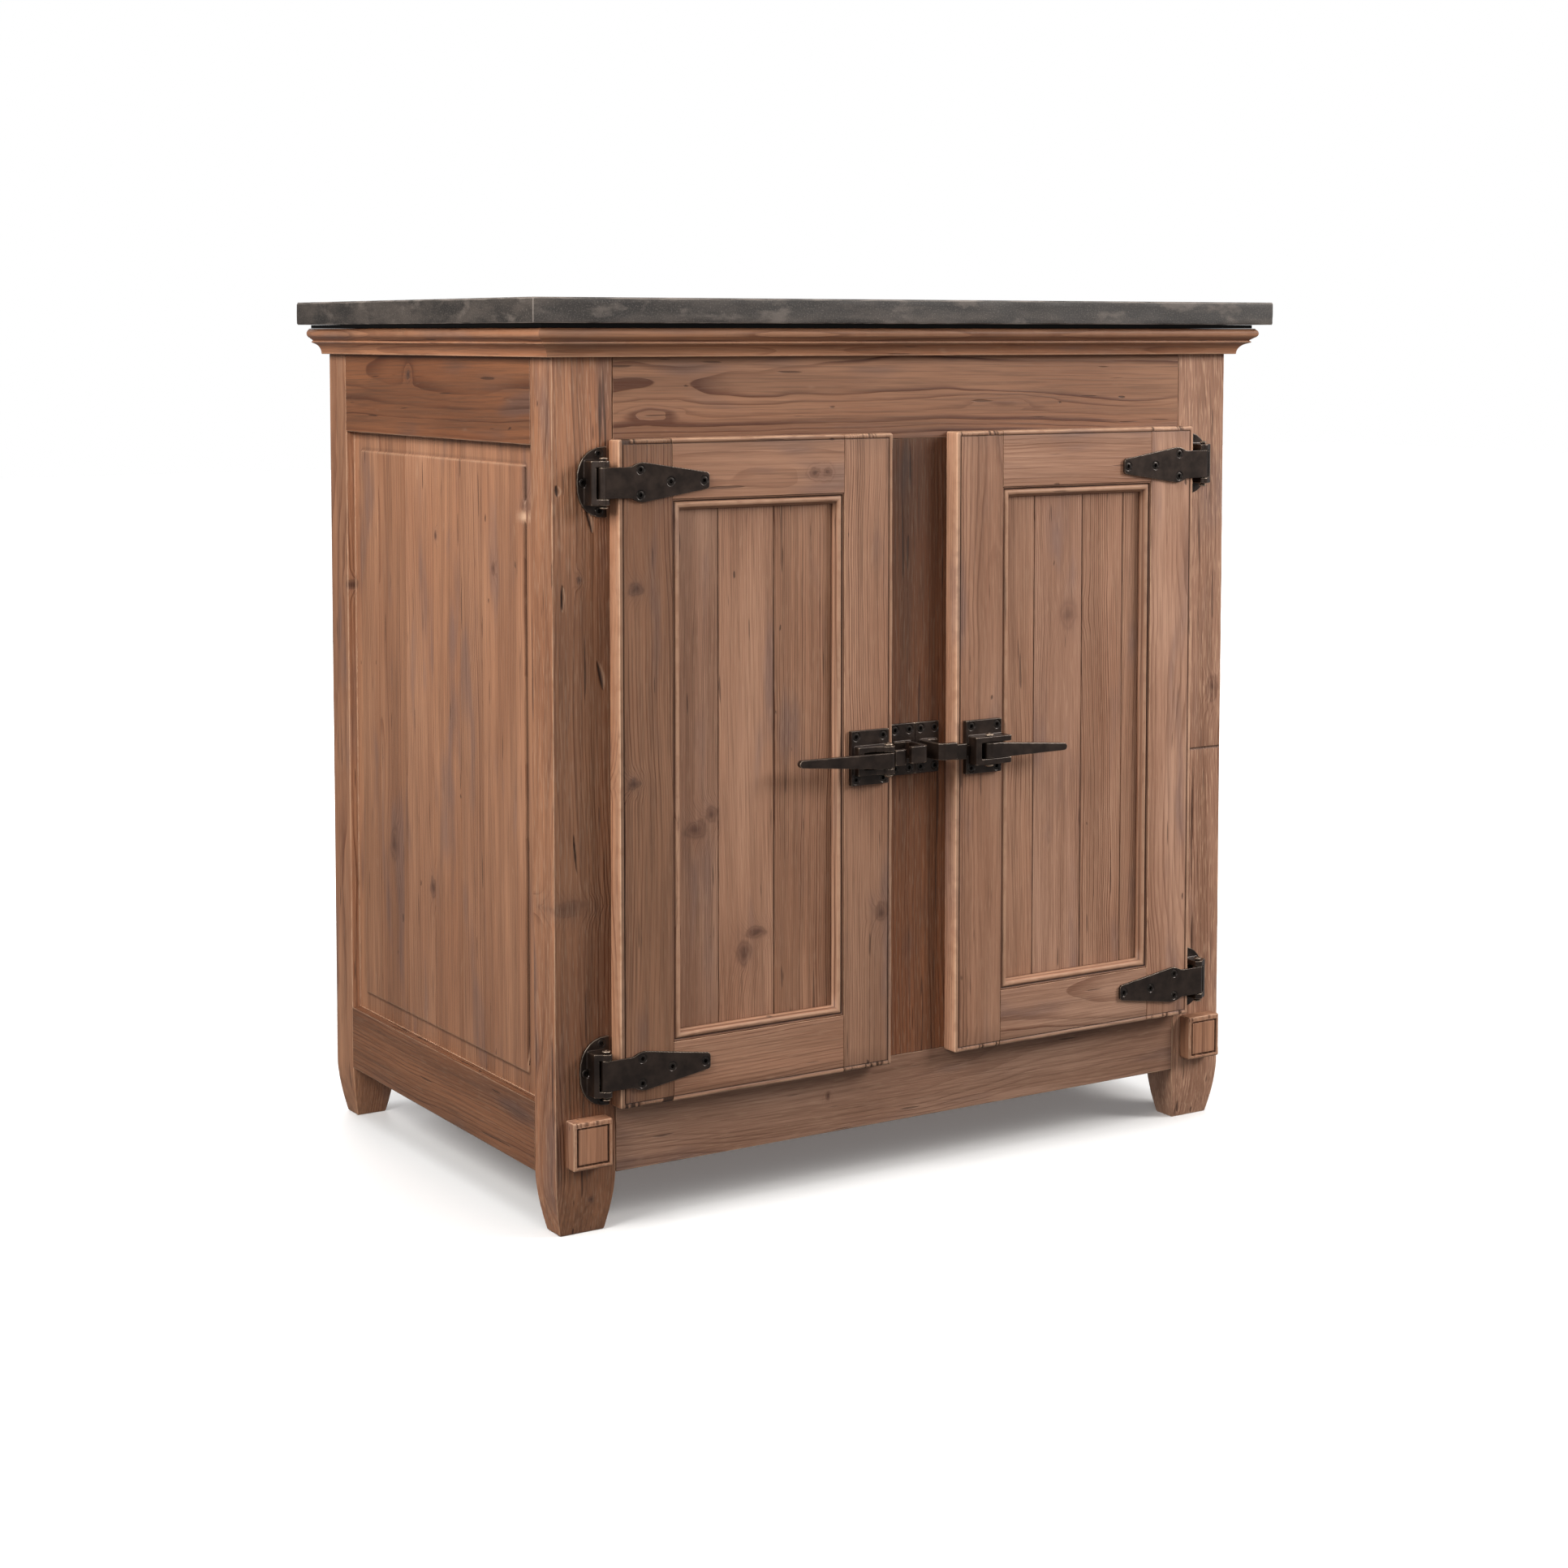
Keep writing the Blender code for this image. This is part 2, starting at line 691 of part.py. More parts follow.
def lever(word, pivot_x, tip_x, flip, parent):
    """Barrel on the pin, with an arm that tapers in height and leans towards the door."""
    name = f"{word}_lever"
    middle = (LEVER_LOW + LEVER_HIGH) / 2
    half = (LEVER_HIGH - LEVER_LOW) / 2
    way = math.copysign(1.0, tip_x - pivot_x)
    length = abs(tip_x - pivot_x)
    round_end = LEVER_TIP_HEIGHT / 2
    tip_mid = half - round_end
    arm = [(0.0, -half), (0.010, -half)]
    for along, height in arc(length - round_end, tip_mid, round_end, -90, 90, 6):
        arm.append((along, height))
    arm += [(0.010, half), (0.0, half)]
    outline = [(pivot_x + way * d, middle + flip * h) for d, h in arm]
    front = LEVER_AXIS_OUT + LEVER_BARREL
    shape = prism_shape(outline, "y", out(front), out(front - LEVER_THICK))
    for v in shape.verts:
        v.co.y += LEVER_LEAN * abs(v.co.x - pivot_x)
    made = add_object(name, shape, BRONZE, parent, 0.38, 1.0)
    axis_y = out(LEVER_AXIS_OUT)
    barrel = guide_prism(
        f"cut_{name}_barrel",
        circle(pivot_x, axis_y, LEVER_BARREL),
        "z",
        LEVER_LOW,
        LEVER_HIGH,
        parent,
    )
    combine(made, barrel, "UNION")
    bore = guide_prism(
        f"cut_{name}_bore",
        circle(pivot_x, axis_y, LATCH_PIN_BORE),
        "z",
        LEVER_LOW - 0.01,
        LEVER_HIGH + 0.01,
        parent,
    )
    combine(made, bore, "DIFFERENCE")
    shade_round(made)


def bolt(side, word, tail, parent):
    """Sliding bolt: a thick nose towards the strike and a thin tail under the lever."""
    name = f"{word}_bolt"
    near = out(LATCH_THICK + 0.0006)
    nose = [
        (BOLT_TIP, near),
        (BOLT_TIP, out(0.0105)),
        (BOLT_TIP + 0.0025, out(0.0130)),
        (BOLT_NOSE_END, out(0.0130)),
        (BOLT_NOSE_END, near),
    ]
    made = metal_prism(name, mirrored(side, nose), "z", BOLT_LOW, BOLT_HIGH, parent)
    thin = [
        (BOLT_NOSE_END - 0.004, near),
        (BOLT_NOSE_END - 0.004, out(0.0091)),
        (tail, out(0.0091)),
        (tail, near),
    ]
    slide = guide_prism(
        f"cut_{name}_slide", mirrored(side, thin), "z", SLIDE_LOW, SLIDE_HIGH, parent
    )
    combine(made, slide, "UNION")


def strike(side, word):
    """Plate on the centre stile with a C-shaped hook that opens towards the door."""
    name = f"strike_{word}"
    low, high = STRIKE_MID - STRIKE_HALF, STRIKE_MID + STRIKE_HALF
    outline = [(GAP / 2, low), (STRIKE_WIDTH, low), (STRIKE_WIDTH, high), (GAP / 2, high)]
    plate = metal_prism(
        name, mirrored(side, outline), "y", FRONT - STRIKE_THICK, FRONT - GAP
    )
    face = FRONT - HOOK_REACH
    hook = [(0.0060, FRONT - 0.003), (0.0062, face + 0.012)]
    hook += [(0.0072, face + 0.0045), (0.0105, face + 0.0008), (0.0135, face)]
    hook += [(HOOK_TIP - 0.001, face), (HOOK_TIP, face + 0.001), (HOOK_TIP, face + 0.0058)]
    hook += arc(0.0190, face + 0.0133, 0.0075, -90, -180, 4)
    hook += [(0.0115, FRONT - 0.010), (0.0140, FRONT - 0.0065), (0.0270, FRONT - 0.0055)]
    hook += [(0.0270, FRONT - 0.003)]
    arm = guide_prism(f"cut_{name}_hook", mirrored(side, hook), "z", HOOK_LOW, HOOK_HIGH)
    combine(plate, arm, "UNION")
    shade_round(plate)


# ---- assembly -----------------------------------------------------------------------------------
def main():
    clear_scene()
    posts()
    front_frame()
    back_frame()
    inside_boards()
    tops()
    crown()
    bolt_middle = (BOLT_LOW + BOLT_HIGH) / 2
    pivots = {
        "left": (LEFT_PIVOT_X, LEFT_TIP_X, -1, (-0.0910, -0.0840), left_ears(), 0.080),
        "right": (RIGHT_PIVOT_X, RIGHT_TIP_X, 1, (0.0512, 0.0580), right_ears(), 0.082),
    }
    for side, word in ((-1, "left"), (1, "right")):
        side_frame(side, word)
        plinth_block(side, word)
        strike(side, word)
        door = axis_empty(f"{word}_door_axis", side * PIN_X, PIN_Y, 0.0)
        door_frame(side, word, door)
        for level, z in HINGE_HEIGHTS.items():
            hinge_plate(side, word, level, z)
            hinge_strap(side, word, level, z, door)
        pivot_x, tip_x, way, bar, ears, tail = pivots[word]
        latch_case(word, side, bar, ears, pivot_x, door)
        handle = axis_empty(f"{word}_lever_axis", pivot_x, out(LEVER_AXIS_OUT), LEVER_LOW)
        lever(word, pivot_x, tip_x, -way, handle)
        runner = axis_empty(f"{word}_bolt_axis", side * BOLT_TIP, out(0.009), bolt_middle)
        bolt(side, word, tail, runner)


main()
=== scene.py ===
"""Looks of the two-door stone-topped cabinet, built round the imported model. Lengths are in metres."""

import json
import math
import random
import zlib

import bmesh
import bpy
import numpy as np
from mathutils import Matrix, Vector, noise


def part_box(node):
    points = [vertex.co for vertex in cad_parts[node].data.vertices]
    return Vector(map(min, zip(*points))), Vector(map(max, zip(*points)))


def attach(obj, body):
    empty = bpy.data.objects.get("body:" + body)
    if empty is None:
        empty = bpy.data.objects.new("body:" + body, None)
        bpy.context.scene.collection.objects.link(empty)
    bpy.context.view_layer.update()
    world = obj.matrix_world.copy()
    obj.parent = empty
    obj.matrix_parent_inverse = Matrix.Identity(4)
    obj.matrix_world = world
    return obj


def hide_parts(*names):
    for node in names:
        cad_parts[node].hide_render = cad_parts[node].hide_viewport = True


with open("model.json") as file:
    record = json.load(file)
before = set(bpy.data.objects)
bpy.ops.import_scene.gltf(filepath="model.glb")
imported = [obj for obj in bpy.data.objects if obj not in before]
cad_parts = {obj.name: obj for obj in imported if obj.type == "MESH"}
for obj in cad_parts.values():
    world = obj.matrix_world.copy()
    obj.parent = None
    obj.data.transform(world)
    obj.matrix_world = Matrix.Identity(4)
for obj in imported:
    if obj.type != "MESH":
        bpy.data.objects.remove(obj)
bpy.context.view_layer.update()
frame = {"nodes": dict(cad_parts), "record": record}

AXES = {"x": 0, "y": 1, "z": 2}
RECORD = frame["record"]
BODY_OF = {n: b for b, nodes in RECORD["behaviour"]["bodies"].items() for n in nodes}

# ---- sizes of the looks ---------------------------------------------------------------------------
NEAR = 1e-6  # a point this close to a face is on it
ARRIS_MIDDLE = 0.586  # where the line along an arris's middle is, as a share of its size
TIGHT = 0.0004  # arris where two boards meet
SOFT = 0.0013  # arris that is handled and worn
DOOR_FRONT = 0.0020  # arris of a door's front
DOOR_EDGE = 0.0022  # arris of a door's outline
GROOVE_IN = 0.0050  # from a door's edge to the groove round it
GROOVE_WIDE = 0.0016
GROOVE_DEEP = 0.0012
SEAM_WIDE = 0.0017
SEAM_DEEP = 0.0010
BACK_SEAM_WIDE = 0.0024
FIELD_MARGIN = 0.020
FIELD_RISE = 0.0018
FIELD_CORNER = 0.002
FIELD_LINES_Y = (-0.0045, -0.0025, -0.0010, 0.0, 0.0010, 0.0020, 0.0035, 0.006, 0.009)
FIELD_LINES_Z = (-0.009, -0.006, -0.0035, -0.0020, -0.0010, 0.0, 0.0010, 0.0025, 0.0045, 0.006, 0.009)
NOTCH_DEEP = 0.0013
NOTCH_STEP = 0.0013
RIDGE_STEP = 0.0011
CRACK_AT = -0.1724  # the side panel's crack, which runs along its field's front edge
CRACK_WIDE = 0.0036
CRACK_DEEP = 0.0034
CRACK_KNOT = 0.7040  # height of the knot that interrupts the crack
SPLIT_AT = 0.4170  # height of the old cut across the right front post
FOOT_TOP = 0.058
FOOT_TAPER = 0.009
FOOT_CURVE = 1.6
RING_SIDE = 0.0058  # from a plinth block's edges to the inside of its ring
RING_BELOW = 0.0057
RING_ABOVE = 0.0080
RING_WIDE = 0.0021
BLOCK_DROP = 0.0030  # how far the top of a block is below its CAD box
BEAD_WIDE = 0.0105
CAST_VOXEL = 0.00055
SCREW_RADIUS = 0.0041
SCREW_SUNK = 0.0006  # from the face of a fitting to a screw's head
SINK_RADIUS = 0.0048
SINK_DEEP = 0.0026
PIN_HEAD = (0.0042, 0.0014)  # radius and height of a hinge pin's head
LATCH_HEAD = (0.0047, 0.0021)
TURNS = 24  # sides of a round hole or screw

ALL_TIGHT = {k: (TIGHT, TIGHT) for k in "xyz"}
SIDE_SEAMS = (-0.076, -0.025, 0.041, 0.109, 0.179)
BACK_SEAMS = (-0.26, -0.13, 0.0, 0.13, 0.26)
DOOR_SEAMS = {"left": (-0.2425, -0.1780), "right": (0.1472, 0.2113, 0.2665)}

# screw holes of the right-hand fittings: (x, height), from the fitting's middle for the hinges
PLATE_HOLES = ((0.3700, 0.0277), (0.3700, -0.0277), (0.3872, 0.0))
STRAP_HOLES = ((0.3355, 0.0122), (0.3355, -0.0122), (0.302, 0.0), (0.2645, 0.0))
LATCH_HOLES = ((0.0555, 0.470), (0.0555, 0.426), (0.0885, 0.470), (0.0885, 0.426))
STRIKE_HOLES = ((0.0070, 0.4690), (0.0070, 0.4290), (0.0250, 0.4690), (0.0250, 0.4290))
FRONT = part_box("front_top_rail")[0][1]
DOOR_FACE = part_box("left_door_stile_hinge")[0][1]
PLATE_FACE = FRONT - 0.0036
STRIKE_FACE = FRONT - 0.0040
STRAP_FACE = DOOR_FACE - 0.0032
LATCH_FACE = DOOR_FACE - 0.0060

# scars of the front posts: (x, z, half length, half width, lean from upright)
SCARS = {
    "post_front_left": (
        (-0.3788, 0.6989, 0.0130, 0.0019, -0.27),
        (-0.4135, 0.7280, 0.0060, 0.0022, -0.10),
        (-0.4085, 0.6248, 0.0140, 0.0014, 0.02),
        (-0.3675, 0.5485, 0.0150, 0.0021, -0.22),
        (-0.3958, 0.3783, 0.0220, 0.0012, -0.10),
    ),
    "post_front_right": ((0.3794, 0.3273, 0.0800, 0.0011, 0.01), (0.3811, 0.2064, 0.0300, 0.0011, 0.0)),
}

# ---- tones of the boards: (lightness, greyness, roughness of the sawn face) -------------------------
POST_LOOKS = {  # each with the height of its weathered ridges
    "post_front_left": ((0.515, -0.32, 0.75), 0.00028),
    "post_front_right": ((1.27, 0.95, 1.0), 0.00060),
    "post_back_left": ((1.02, 0.1, 0.3), 0.0001),
    "post_back_right": ((1.02, 0.2, 0.3), 0.0001),
}
BACK_TONE = (0.80, 0.25, 0.25)
BEAD_TONE = (1.04, 0.6, 0.1)
PANEL_TONE = (0.94, 0.60, 0.3)
DOOR_TONES = {
    "left_door_stile_hinge": (0.61, 0.15, 0.3),
    "left_door_stile_latch": (0.97, 0.60, 0.3),
    "left_door_rail_top": (0.98, 0.50, 0.15),
    "left_door_rail_bottom": (0.98, 0.75, 0.3),
    "right_door_stile_latch": (1.02, 0.60, 0.3),
    "right_door_stile_hinge": (1.27, 1.0, 0.3),
    "right_door_rail_top": (1.06, 0.75, 0.15),
    "right_door_rail_bottom": (1.04, 0.9, 0.3),
}

# planks of one board: (lightness beside the board's, greyness beside it, contrast of the rings)
SIDE_PLANKS = (
    (1.03, 0.05, 0.70), (0.98, 0.10, 0.85), (1.05, 0.00, 0.55),
    (1.07, 0.15, 0.60), (0.96, 0.00, 0.75), (0.99, 0.05, 0.70),
)
DOOR_PLANKS = {
    "left": ((0.96, 0.15, 0.90), (1.06, -0.05, 0.95), (0.94, -0.25, 1.25)),
    "right": ((1.14, 0.00, 1.00), (1.28, 0.35, 0.95), (1.15, 0.10, 1.30), (1.04, 0.00, 1.10)),
}


# ---- mesh helpers -----------------------------------------------------------------------------
def linked(name, data):
    """A new object in the scene that shows some data."""
    made = bpy.data.objects.new(name, data)
    bpy.context.scene.collection.objects.link(made)
    return made


def face_outward(mesh, weld=False):
    """Turns the faces of a mesh outward, after welding it where asked."""
    shape = bmesh.new()
    shape.from_mesh(mesh)
    if weld:
        bmesh.ops.remove_doubles(shape, verts=shape.verts, dist=NEAR)
    bmesh.ops.recalc_face_normals(shape, faces=shape.faces)
    shape.to_mesh(mesh)
    shape.free()


def store(mesh, label, domain, values):
    """Keeps a vector for each point or face corner of a mesh, which its material reads."""
    layer = mesh.attributes.new(label, "FLOAT_VECTOR", domain)
    layer.data.foreach_set("vector", np.ascontiguousarray(values, np.float32).ravel())


def smooth(mesh):
    mesh.polygons.foreach_set("use_smooth", [True] * len(mesh.polygons))


def grid_lines(low, high, step, arris, extra=()):
    """Coordinates across a board: close together in each arris, at most a step apart between."""
    first, last = low + arris[0], high - arris[1]
    kept = sorted({first, last} | {e for e in extra if first + 1e-5 < e < last - 1e-5})
    found = [low, low + ARRIS_MIDDLE * arris[0]]
    for a, b in zip(kept, kept[1:]):
        count = max(1, math.ceil((b - a) / step - NEAR))
        found += [a + (b - a) * i / count for i in range(count)]
    return found + [last, high - ARRIS_MIDDLE * arris[1], high]


def block(lines):
    """Points and faces of a box's skin with a grid line at each coordinate of the three lists."""
    index, points, faces = {}, [], []
    counts = [len(line) - 1 for line in lines]

    def at(*key):
        if key not in index:
            index[key] = len(points)
            points.append([line[i] for line, i in zip(lines, key)])
        return index[key]

    for axis in range(3):
        one, two = (axis + 1) % 3, (axis + 2) % 3
        for end in (0, counts[axis]):
            for i in range(counts[one]):
                for j in range(counts[two]):
                    ring = []
                    for a, b in ((i, j), (i + 1, j), (i + 1, j + 1), (i, j + 1)):
                        key = [0, 0, 0]
                        key[axis], key[one], key[two] = end, a, b
                        ring.append(at(*key))
                    faces.append(ring if end else ring[::-1])
    return np.array(points, float), faces


def skin(count, size, loop=False):
    """Faces over count rings of size points; the end rings are capped unless the rings loop."""
    faces = [] if loop else [list(range(size)), [(count - 1) * size + i for i in range(size)]]
    for s in range(count if loop else count - 1):
        t = (s + 1) % count
        for i in range(size):
            j = (i + 1) % size
            faces.append([s * size + i, s * size + j, t * size + j, t * size + i])
    return faces


def noise_at(points, wavelength, seed=0.0):
    """Smooth noise from about -1 to 1 at each point."""
    shift = Vector((seed, seed * 0.7, -seed))
    return np.array([noise.noise(Vector(p) / wavelength + shift) for p in points])


def noise_along(points, stretch, wavelength, seed):
    """Noise on points whose three coordinates are first scaled by stretch."""
    return noise_at(points * np.array(stretch), wavelength, seed)


def seed_of(name):
    return zlib.crc32(name.encode()) % 9973


def along_axis(axis, amount):
    """A vector for each point, with an amount on one axis and zeros on the others."""
    made = np.zeros((len(amount), 3))
    made[:, AXES[axis]] = amount
    return made


def line_points(middle, wide):
    """Where a grid needs lines for a narrow groove."""
    return [middle + wide * d for d in (-0.5, -0.3, 0.0, 0.3, 0.5)]


def line_at(place, middle, wide, sharp=2.4):
    """1 along the middle of a narrow groove, 0 outside it."""
    return np.clip((1 - np.abs(place - middle) / (wide / 2)) * sharp, 0, 1)


def on_side(points, axis, place):
    """Which points lie on a flat face at a place along an axis."""
    return np.abs(points[:, AXES[axis]] - place) < NEAR


def rounded(points, low, high, arris, wear, seed):
    """Rounds the arrises of a block, wears them unevenly, and says how near each point is to one."""
    inner_low = np.array([low[k] + arris[k][0] for k in range(3)])
    inner_high = np.array([high[k] - arris[k][1] for k in range(3)])
    core = np.clip(points, inner_low, inner_high)
    away = points - core
    sizes = np.where(away < 0, [a[0] for a in arris], [a[1] for a in arris])
    share = np.abs(away) / np.maximum(sizes, 1e-9)
    scale = 1 / np.maximum(np.sqrt((share**2).sum(1)), 1.0)
    on_arris = (share > NEAR).sum(1) >= 2
    dents = np.zeros(len(points))
    where = np.nonzero(on_arris)[0]
    coarse = noise_at(points[where], 0.060, seed)
    fine = noise_at(points[where], 0.011, seed + 5)
    dents[where] = np.clip(0.35 + 0.6 * coarse + 0.7 * fine, 0, 1.5)
    moved = core + away * (scale * (1 - wear * dents))[:, None]
    return moved, np.where(on_arris, np.clip(share.sum(1) - 1.0, 0, 1), 0)


def make_piece(name, points, faces, material, node, layers=None, wear=None, caps=()):
    """A mesh object that stands for a CAD node. layers are per face corner, wear is per point: rub, dirt
    with painted shade, and painted light.

    caps are the faces whose edges stay sharp.
    """
    mesh = bpy.data.meshes.new(name)
    mesh.from_pydata([tuple(p) for p in points], [], [tuple(f) for f in faces])
    face_outward(mesh)
    smooth(mesh)
    if layers:
        corner = np.zeros(len(mesh.loops), int)
        mesh.loops.foreach_get("vertex_index", corner)
        owner = np.repeat(np.arange(len(mesh.polygons)), [p.loop_total for p in mesh.polygons])
        middle = np.array([p.center for p in mesh.polygons])[owner]
        at = np.array(points, float)[corner]
        for label, values in layers.items():
            store(mesh, label, "CORNER", values(at, middle))
    if wear is not None:
        store(mesh, "wear", "POINT", wear)
    if caps:
        sharp = {key for cap in caps for key in mesh.polygons[cap].edge_keys}
        layer = mesh.attributes.new("sharp_edge", "BOOLEAN", "EDGE")
        layer.data.foreach_set("value", [edge.key in sharp for edge in mesh.edges])
    mesh.materials.append(material)
    piece = linked(name, mesh)
    normals = piece.modifiers.new("normals", "WEIGHTED_NORMAL")
    normals.mode = "FACE_AREA"
    normals.weight = 70
    normals.keep_sharp = bool(caps)
    stand_in(piece, node)


def stand_in(piece, node):
    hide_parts(node)
    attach(piece, BODY_OF[node])


class Log:
    """Where a board was cut from its log: turns points of the frame into grain coordinates."""

    def __init__(self, name, along, face, tone, pith=None, tilt=None, seams=(), planks=None,
                 contrast=0.8, spacing=0.95, figured=0.3):
        self.axes = [AXES[along], 3 - AXES[along] - AXES[face], AXES[face]]
        self.seams = np.array(sorted(seams), float)
        draw = random.Random(seed_of(name))
        rows = []
        for i in range(len(self.seams) + 1):
            flat = draw.random() < figured
            side = draw.choice((-1, 1)) * (draw.uniform(0.0, 0.03) if flat else draw.uniform(0.10, 0.24))
            depth = draw.uniform(0.03, 0.07) if flat else draw.uniform(0.0, 0.05)
            if pith is not None:
                side, depth = pith
            lean = draw.uniform(-0.02, 0.02) if tilt is None else tilt
            start = draw.uniform(0, 30)
            light = tone[0] * (1 + draw.uniform(-0.06, 0.06) * (len(self.seams) > 0))
            grey = tone[1] + draw.uniform(-0.1, 0.1)
            sharp = contrast * draw.uniform(0.8, 1.2)
            fine = spacing * draw.uniform(0.85, 1.2)
            if planks:
                light = tone[0] * planks[i][0]
                grey = tone[1] + planks[i][1]
                sharp = planks[i][2]
            grey = min(1.0, max(-1.0, grey))
            rows.append((start, side, depth, lean, light, grey, tone[2], sharp, fine, draw.random()))
        self.planks = np.array(rows)
        self.middle = None

    def plank(self, middle):
        """The row of each face corner's plank; a corner belongs to the plank of its face's middle."""
        return self.planks[np.searchsorted(self.seams, middle[:, self.axes[1]])]

    def grain(self, at, middle):
        rows = self.plank(middle)
        if self.middle is None:
            self.middle = (at.min(0) + at.max(0)) / 2
        u, v, w = (at[:, a] - self.middle[a] for a in self.axes)
        start, side, depth, lean = rows[:, :4].T
        return np.stack([u + start, v - side + u * lean, w - depth - 0.4 * u * lean], 1)

    def tone(self, at, middle):
        return self.plank(middle)[:, 4:7]

    def cut(self, at, middle):
        return self.plank(middle)[:, 7:10]

    def layers(self):
        return {"grain": self.grain, "tone": self.tone, "cut": self.cut}


def board(node, along, face, tone, material, arris=None, wear=0.5, step=0.012, extra=None,
          relief=None, shape=None, shade=None, **cut):
    """A board in a CAD box's place, with worn arrises, its own grain and any relief on its face.

    relief gives each point's shift and its dirt with painted shade in hollows, which is negative where
    the wood is rubbed bare.
    shade gives how much lighter each point is, in part painted light and shade. cut holds any settings of
    the board's Log.
    """
    low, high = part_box(node)
    sides = {**{k: (SOFT, SOFT) for k in "xyz"}, **(arris or {})}
    arris = [sides[k] for k in "xyz"]
    lines = []
    for k, name in enumerate("xyz"):
        apart = step * (1.6 if name == along else 1)
        apart = apart if high[k] - low[k] > 0.03 else 0.02
        lines.append(grid_lines(low[k], high[k], apart, arris[k], (extra or {}).get(name, ())))
    start, faces = block(lines)
    points, edge = rounded(start, low, high, arris, wear, seed_of(node) * 0.013)
    dirt_and_shade = np.zeros(len(points))
    if relief:
        shift, dirt_and_shade = relief(start, low, high)
        points = points + shift
    if shape:
        points = shape(points)
    light = shade(start, low, high) if shade else np.zeros(len(points))
    # the third channel is the shade: painted light and shade as a change of lightness
    marks = np.stack([np.maximum(edge, -dirt_and_shade), np.maximum(dirt_and_shade, 0), light], 1)
    log = Log(node, along, face, tone, **cut)
    make_piece(f"{node}_wood", points, faces, material, node, log.layers(), marks)


# ---- node helpers -----------------------------------------------------------------------------
class Graph:
    """Short calls that add nodes to one node tree; a value is a number, a tuple or a socket."""

    def __init__(self, tree):
        self.tree = tree

    def put(self, socket, value):
        if isinstance(value, bpy.types.NodeSocket):
            self.tree.links.new(value, socket)
        else:
            socket.default_value = value

    def add(self, kind, values=None, **settings):
        made = self.tree.nodes.new(kind)
        for key, value in settings.items():
            setattr(made, key, value)
        for key, value in (values or {}).items():
            self.put(made.inputs[key], value)
        return made

    def math(self, operation, *values):
        return self.add("ShaderNodeMath", dict(enumerate(values)), operation=operation).outputs[0]

    def times(self, one, two):
        return self.math("MULTIPLY", one, two)

    def plus(self, one, two):
        return self.math("ADD", one, two)

    def larger(self, one, two):
        return self.math("MAXIMUM", one, two)

    def line(self, value, slope, start):
        return self.math("MULTIPLY_ADD", value, slope, start)

    def vector(self, operation, *values):
        made = self.add("ShaderNodeVectorMath", operation=operation)
        for socket, value in zip(made.inputs, values):
            self.put(socket, value)
        return made.outputs["Value" if operation == "LENGTH" else "Vector"]

    def scaled(self, vector, *factors):
        """A vector times one factor, or times its own factor on each axis."""
        return self.vector("MULTIPLY", vector, factors if len(factors) == 3 else factors * 3)

    def parts(self, vector):
        return self.add("ShaderNodeSeparateXYZ", {0: vector}).outputs

    def joined(self, x, y, z):
        return self.add("ShaderNodeCombineXYZ", {0: x, 1: y, 2: z}).outputs[0]

    def noise(self, vector, scale=1.0, detail=2.0, rough=0.5, many=False):
        values = {"Vector": vector, "Scale": scale, "Detail": detail, "Roughness": rough}
        return self.add("ShaderNodeTexNoise", values).outputs["Color" if many else "Fac"]

    def step(self, value, low, high, to_low=0.0, to_high=1.0):
        made = self.add("ShaderNodeMapRange", interpolation_type="SMOOTHSTEP")
        for key, given in enumerate((value, low, high, to_low, to_high)):
            self.put(made.inputs[key], given)
        return made.outputs[0]

    def mix(self, share, one, two, blend="MIX"):
        made = self.add("ShaderNodeMix", data_type="RGBA", blend_type=blend)
        for key, given in ((0, share), (6, one), (7, two)):
            self.put(made.inputs[key], given)
        return made.outputs[2]

    def attribute(self, name):
        return self.add("ShaderNodeAttribute", attribute_name=name).outputs["Vector"]

    def point(self):
        return self.add("ShaderNodeTexCoord").outputs["Object"]

    def layered(self, base, *layers):
        """A colour under others, each given with its share."""
        for share, tint in layers:
            base = self.mix(share, base, tint)
        return base

    def surface(self, shader, base, rough, height, strength, distance):
        """Gives a shader its colour, its roughness and its bump."""
        values = {"Strength": strength, "Distance": distance, "Height": height}
        self.put(shader.inputs["Base Color"], base)
        self.put(shader.inputs["Roughness"], rough)
        self.put(shader.inputs["Normal"], self.add("ShaderNodeBump", values).outputs[0])


def new_material(name, **constants):
    """A material with a Principled shader whose constant sockets are set here."""
    material = bpy.data.materials.new(name)
    material.use_nodes = True
    tree = material.node_tree
    tree.nodes.clear()
    graph = Graph(tree)
    shader = graph.add("ShaderNodeBsdfPrincipled", {k.replace("_", " "): v for k, v in constants.items()})
    output = graph.add("ShaderNodeOutputMaterial")
    tree.links.new(shader.outputs[0], output.inputs[0])
    return material, graph, shader


def new_group(name, inputs, outputs):
    """A node group; inputs and outputs give each socket's kind of value."""
    group = bpy.data.node_groups.new(name, "ShaderNodeTree")
    for way, sockets in (("INPUT", inputs), ("OUTPUT", outputs)):
        for label, kind in sockets.items():
            group.interface.new_socket(label, in_out=way, socket_type=f"NodeSocket{kind}")
    graph = Graph(group)
    return group, graph, graph.add("NodeGroupInput").outputs


def colour(red, green, blue):
    return (red, green, blue, 1.0)


